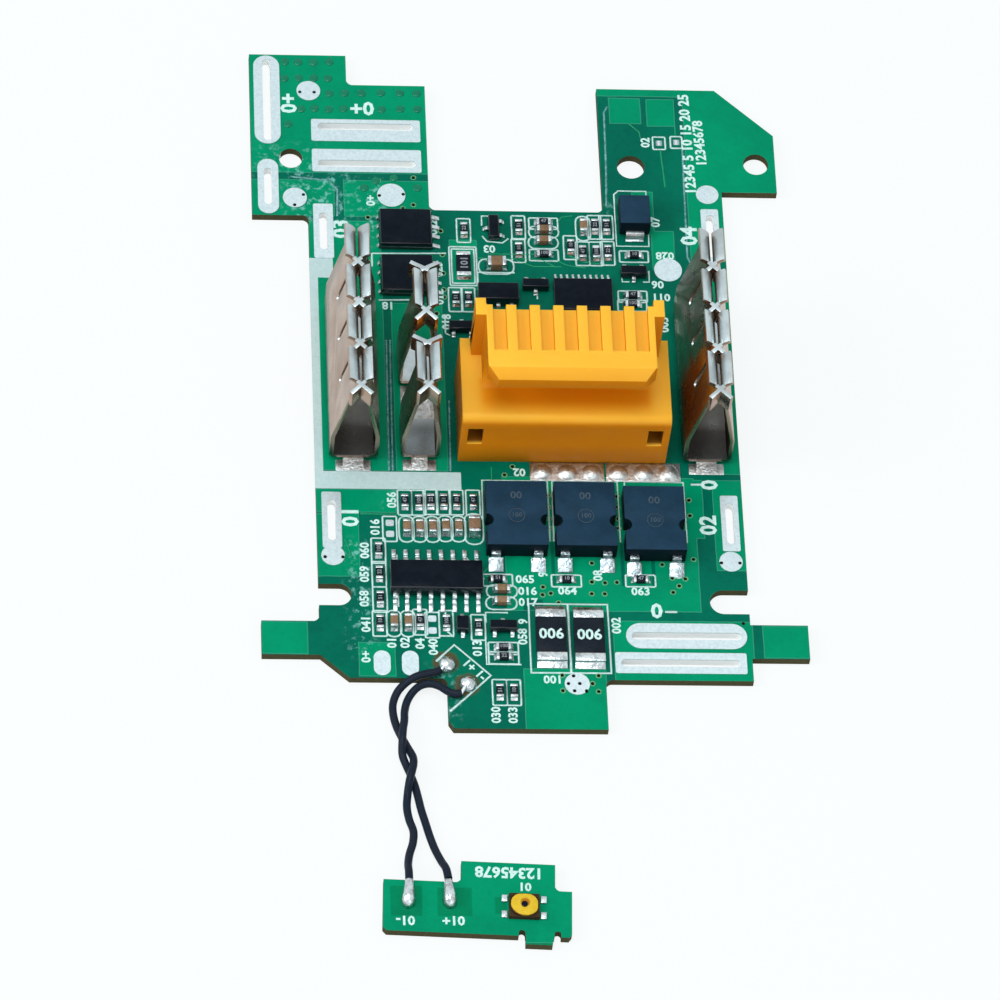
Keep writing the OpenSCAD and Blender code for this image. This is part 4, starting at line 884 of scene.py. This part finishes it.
# %% Dark dots painted as the shade in the via holes of the left lobe's round pads, and two bare squares
PAD_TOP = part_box("test_pads")[1][2]
DOTS = [(-23.7, 38.9), (-22.1, 38.9), (-23.6, 24.8), (-24.6, 23.4)]
SQUARES = [[(16.4, 32.3), (16.4, 33)], [(18.35, 32.45), (18.35, 33.15)]]
pressed_lines("pad_dots", [circle(x, y, 0.1, 12) for x, y in DOTS], 0.2, hole_shade,
              top=PAD_TOP)
pressed_lines("bare_squares", strokes(SQUARES), 0.7, tin)

# %% [markdown]
# Many vias are closed: the lacquer runs over them and leaves a small round swelling with
# a bright glint. A flattened ball for each, in glossy green, gives that glint by itself.

# %% Closed vias
CLOSED_VIAS = [
    (-25.3, 43.1), (-23.8, 43.1), (-22.1, 43.1), (-20.3, 43.2), (-25.4, 40.8), (-23.8, 40.9),
    (-22.1, 40.9), (-20.5, 40.9), (-20.4, 38.8), (-18.7, 38.9), (-16.8, 38.9), (-14.6, 39),
    (-12.5, 39), (-10.6, 39), (-23.6, 36.6), (-22.1, 36.7), (-20.5, 36.6), (-18.9, 36.7),
    (-14.6, 36.7), (-12.5, 36.8), (-10.6, 36.8), (-25.1, 34.5), (-15.5, 26.9), (-13.5, 27.3),
    (-16.8, 25.9), (-10.9, 26)]
VIA_R, VIA_SWELL = 0.5, 0.13
via_coat, place = finish("closed_via", IOR=1.5, Specular_IOR_Level=0.2)
feed(via_coat, Base_Color=noise(place, 0.8).paint((0.0, 0.21, 0.105), (0.0, 0.14, 0.075)),
     Roughness=0.06 + noise(place, 1.4) * 0.14, Normal=bump(noise(place, 1.8), 0.5, 0.08))
swellings = []
for x, y in CLOSED_VIAS:
    bpy.ops.mesh.primitive_uv_sphere_add(segments=16, ring_count=10, radius=1)
    swelling = bpy.context.object
    swelling.scale = (VIA_R * MM, VIA_R * MM, VIA_SWELL * MM)
    swelling.location = (x * MM, y * MM, BOARD_TOP)
    select_only(swelling)
    bpy.ops.object.transform_apply(location=True, rotation=True, scale=True)
    bpy.ops.object.shade_smooth()
    swellings.append(swelling)
settle(joined("closed_vias", swellings), via_coat)
print("closed vias:", len(CLOSED_VIAS))

# %% The broad white band
BAND = [(-23.15, 16.3), (-20.55, 16.3), (-20.55, 13.7), (-22.25, 13.7), (-22.25, -11.75),
        (-7.35, -11.75), (-7.35, -14), (-23.15, -14)]
band = drawn("white_band", [([(x * MM, y * MM, 0) for x, y in BAND], True)],
             dimensions="2D", fill_mode="BOTH", extrude=INK_T / 2)
for vertex in band.data.vertices:
    vertex.co.z += BOARD_TOP + INK_T / 2
settle(band, band_ink)
print("band faces:", len(band.data.polygons))

# %% [markdown]
# ## Numbers
#
# Each part on a real board has a short printed name. Here its place holds plain numbers
# and signs. A text object is turned into a mesh before it is placed, and all the numbers
# of one ink are joined into one piece.

# %% Plain numbers joined into one piece
# A digit's height as a share of its text size
DIGIT_SHARE = 0.7


def numbers(name, labels, material, bold=0.03):
    """Joins labels, each (text, x, y, top, height, turn), into one printed piece."""
    made = []
    for text, x, y, top, height, turn in labels:
        bpy.ops.object.text_add(location=(0, 0, 0))
        label = bpy.context.object
        label.data.body = text
        label.data.align_x, label.data.align_y = "CENTER", "CENTER"
        label.data.size = height * MM / DIGIT_SHARE
        label.data.offset = bold * height * MM
        label.data.resolution_u = 2
        label.data.extrude = INK_T / 2
        bpy.ops.object.convert(target="MESH")
        label = bpy.context.object
        label.rotation_euler.z = math.radians(turn)
        label.location = (x * MM, y * MM, top + INK_T)
        select_only(label)
        bpy.ops.object.transform_apply(location=True, rotation=True, scale=True)
        made.append(label)
    piece = joined(name, made)
    settle(piece, material)
    print(name, "holds", len(labels), "labels,", len(piece.data.polygons), "faces")


# %% Labels on the two boards: text, x, y, height where it is given, and turn in degrees
LARGE_HEIGHT, MEDIUM_HEIGHT = 1.75, 0.95
LARGE = [("0+", -24.9, 37.4, 90), ("0+", -16.8, 36.9, 180), ("03", -19.5, 20.3, 90),
         ("04", 19.2, 20, 90), ("01", -19.4, -17.6, 90), ("02", 19.3, -18.2, 90),
         ("0", 13.1, -29.3, 0), ("0", 19.7, -13, 90)]
MEDIUM = [
    ("0+", -16.1, 24.2, 90), ("07", 15.5, 21.8, 90), ("028", 16.3, 17.3, 180),
    ("06", 15.3, 13.4, 180), ("011", 15.6, 11.7, 180), ("005", 15.8, 8, 90),
    ("18", -14.6, 10.1, 180), ("002", 8.7, -31.1, 90), ("001", 1.6, -38, 0),
    ("030", -4.6, -42.4, 90), ("033", -2.8, -42.4, 90), ("065", -0.9, -25.4, 0),
    ("9", 1.1, -24.7, 90), ("016", -0.7, -26.9, 0), ("017", -0.7, -28.3, 0),
    ("064", 3.6, -26.8, 0), ("063", 11.5, -26.8, 0), ("08", 7, -24.8, 90),
    ("07", 15.7, -24.4, 90), ("056", -14.9, -15.4, 90), ("016", -16.8, -18.9, 90),
    ("060", -18, -21.9, 90), ("059", -18.1, -24.9, 90), ("058", -18.2, -28, 90),
    ("041", -18.1, -31.2, 90), ("0+", -18.2, -35.3, 90), ("01", -15.4, -33.5, 90),
    ("02", -14, -33.5, 90), ("04", -12.4, -33.6, 90), ("040", -11, -34, 90),
    ("013", -6.3, -34.1, 90), ("058", -1.4, -32.6, 90), ("9", -1.3, -30.7, 90),
    ("02", -1, -11.6, 180), ("02", 14.9, 32.7, 90), ("022", -9.3, 20.7, 90),
    ("03", -3.2, 17.9, 180), ("025", -8.9, 15, 90), ("012", -8.9, 11.3, 90),
    ("018", -8.2, 8, 90), ("1+", -7.3, -36.3, 315), ("1-", -6.1, -37.5, 315)]
LOBE_ROWS = [("12345 5 10 15 20 25", 19.6, 32.6, 1.15, 91), ("12345678", 21, 32.7, 1.1, 92)]
SWITCH_LABELS = [("12345678", -4, -61.6, 1.25, 178), ("01", -2.4, -63.3, 0.95, 178),
                 ("01-", -15, -67.4, 1.05, 180), ("01+", -10, -67.4, 1.05, 180)]
sized = [(text, x, y, LARGE_HEIGHT, turn) for text, x, y, turn in LARGE]
sized += [(text, x, y, MEDIUM_HEIGHT, turn) for text, x, y, turn in MEDIUM]
numbers("printed_numbers", [(text, x, y, BOARD_TOP, height, turn) for text, x, y, height, turn
                            in sized + LOBE_ROWS + SWITCH_LABELS], ink, bold=0.045)

# %% Labels on the chips and the shunts
CHIP_CODES = ("10", "47", "100", "22", "51")
chip_labels = [(CHIP_CODES[i % len(CHIP_CODES)], x, y, top * MM, 0.42, 0 if width > length else 90)
               for i, (x, y, width, length, top) in enumerate(resistors)]
chip_labels += [("101", x, y, top * MM, 0.8, 270) for x, y, _, _, top in large_resistor]
numbers("chip_numbers", chip_labels, grey_ink)


def top_centre(node):
    """The middle of a node's top face: x and y in millimetres, and its height in metres."""
    low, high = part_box(node)
    return (low[0] + high[0]) / 2 / MM, (low[1] + high[1]) / 2 / MM, high[2]


numbers("shunt_numbers", [("006", *top_centre(node), 1.25, 0) for node in ("shunt_1", "shunt_2")],
        ink, bold=0.04)

# %% Moulded rings and marks on the power transistors
RING_FORWARD, RING_R, MARK_BACK = 0.3, 0.85, 2.2
for node in ("power_fet_1", "power_fet_2", "power_fet_3"):
    x, y, top = top_centre(node)
    ring_y = y - RING_FORWARD
    pressed_lines(node + "_ring", [circle(x, ring_y, RING_R, 24)], 0.1, mark_ink, top=top)
    numbers(node + "_mark", [("00", x, y + MARK_BACK, top, 0.9, 0),
                             ("100", x, ring_y, top, 0.55, 0)], mark_ink)

# %% [markdown]
# ## Table and light
#
# The photograph stands on a white ground with hardly a shadow. The floor mixes a white
# glow, seen only by the camera and in reflections, with a plain white surface that
# catches the board's shadow. Three soft lamps, above, to the left and in front, give the
# pale highlights.


# %% Rays that should see a plain white room
def seen_rays(tree):
    """1 for rays from the camera, off shiny faces and through glass, and 0 for others."""
    start = Signal(tree, None)
    rays = tree.nodes.new("ShaderNodeLightPath")
    camera_ray, glossy_ray, glass_ray = [
        Signal(tree, rays.outputs[kind])
        for kind in ("Is Camera Ray", "Is Glossy Ray", "Is Transmission Ray")]
    return start.maths("MAXIMUM", camera_ray, start.maths("MAXIMUM", glossy_ray, glass_ray))


# %% White floor
FLOOR_SIZE, FLOOR_Z, FLOOR_GLOW = 6, -0.02 * MM, 0.86
WHITE = (0.97, 1.0, 1.0, 1)
bpy.ops.mesh.primitive_plane_add(size=FLOOR_SIZE, location=(0, 0, FLOOR_Z))
floor = bpy.context.object
floor.name = "floor"
ground = bpy.data.materials.new("white_ground")
ground.use_nodes = True
tree = ground.node_tree
seen = seen_rays(tree)
matt = seen.node("BsdfDiffuse", {}, {"Color": (0.8, 0.8, 0.8, 1)})
glow = seen.node("Emission", {}, {"Color": WHITE, "Strength": 1.0})
both = seen.node("MixShader", {}, {0: seen * FLOOR_GLOW, 1: matt, 2: glow})
tree.links.new(both.socket, tree.nodes["Material Output"].inputs["Surface"])
floor.data.materials.append(ground)

# %% Soft lamps: name, place, size in metres and power in watts
LAMPS = [("lamp_above", (-0.1, -0.08, 0.85), 0.5, 3.5),
         ("lamp_left", (-0.6, -0.1, 0.45), 0.4, 1.9),
         ("lamp_front", (0.3, -0.7, 0.35), 0.4, 0.7)]
for name, spot, size, power in LAMPS:
    bpy.ops.object.light_add(type="AREA", location=spot)
    lamp = bpy.context.object
    lamp.name = name
    lamp.data.shape = "DISK"
    lamp.data.size = size
    lamp.data.energy = power
    lamp.rotation_euler = (-Vector(spot)).to_track_quat("-Z", "Y").to_euler()

# %% A pale world
ROOM_LIGHT = 0.55
world = bpy.data.worlds.new("pale_room")
bpy.context.scene.world = world
world.use_nodes = True
tree = world.node_tree
seen = seen_rays(tree)
room = seen.node("Background", {}, {"Color": (0.92, 0.96, 1.0, 1), "Strength": ROOM_LIGHT})
back = seen.node("Background", {}, {"Color": WHITE, "Strength": 1.0})
both = seen.node("MixShader", {}, {0: seen, 1: room, 2: back})
tree.links.new(both.socket, tree.nodes["World Output"].inputs["Surface"])
bpy.context.scene.view_settings.view_transform = "Standard"
print("stage ready")
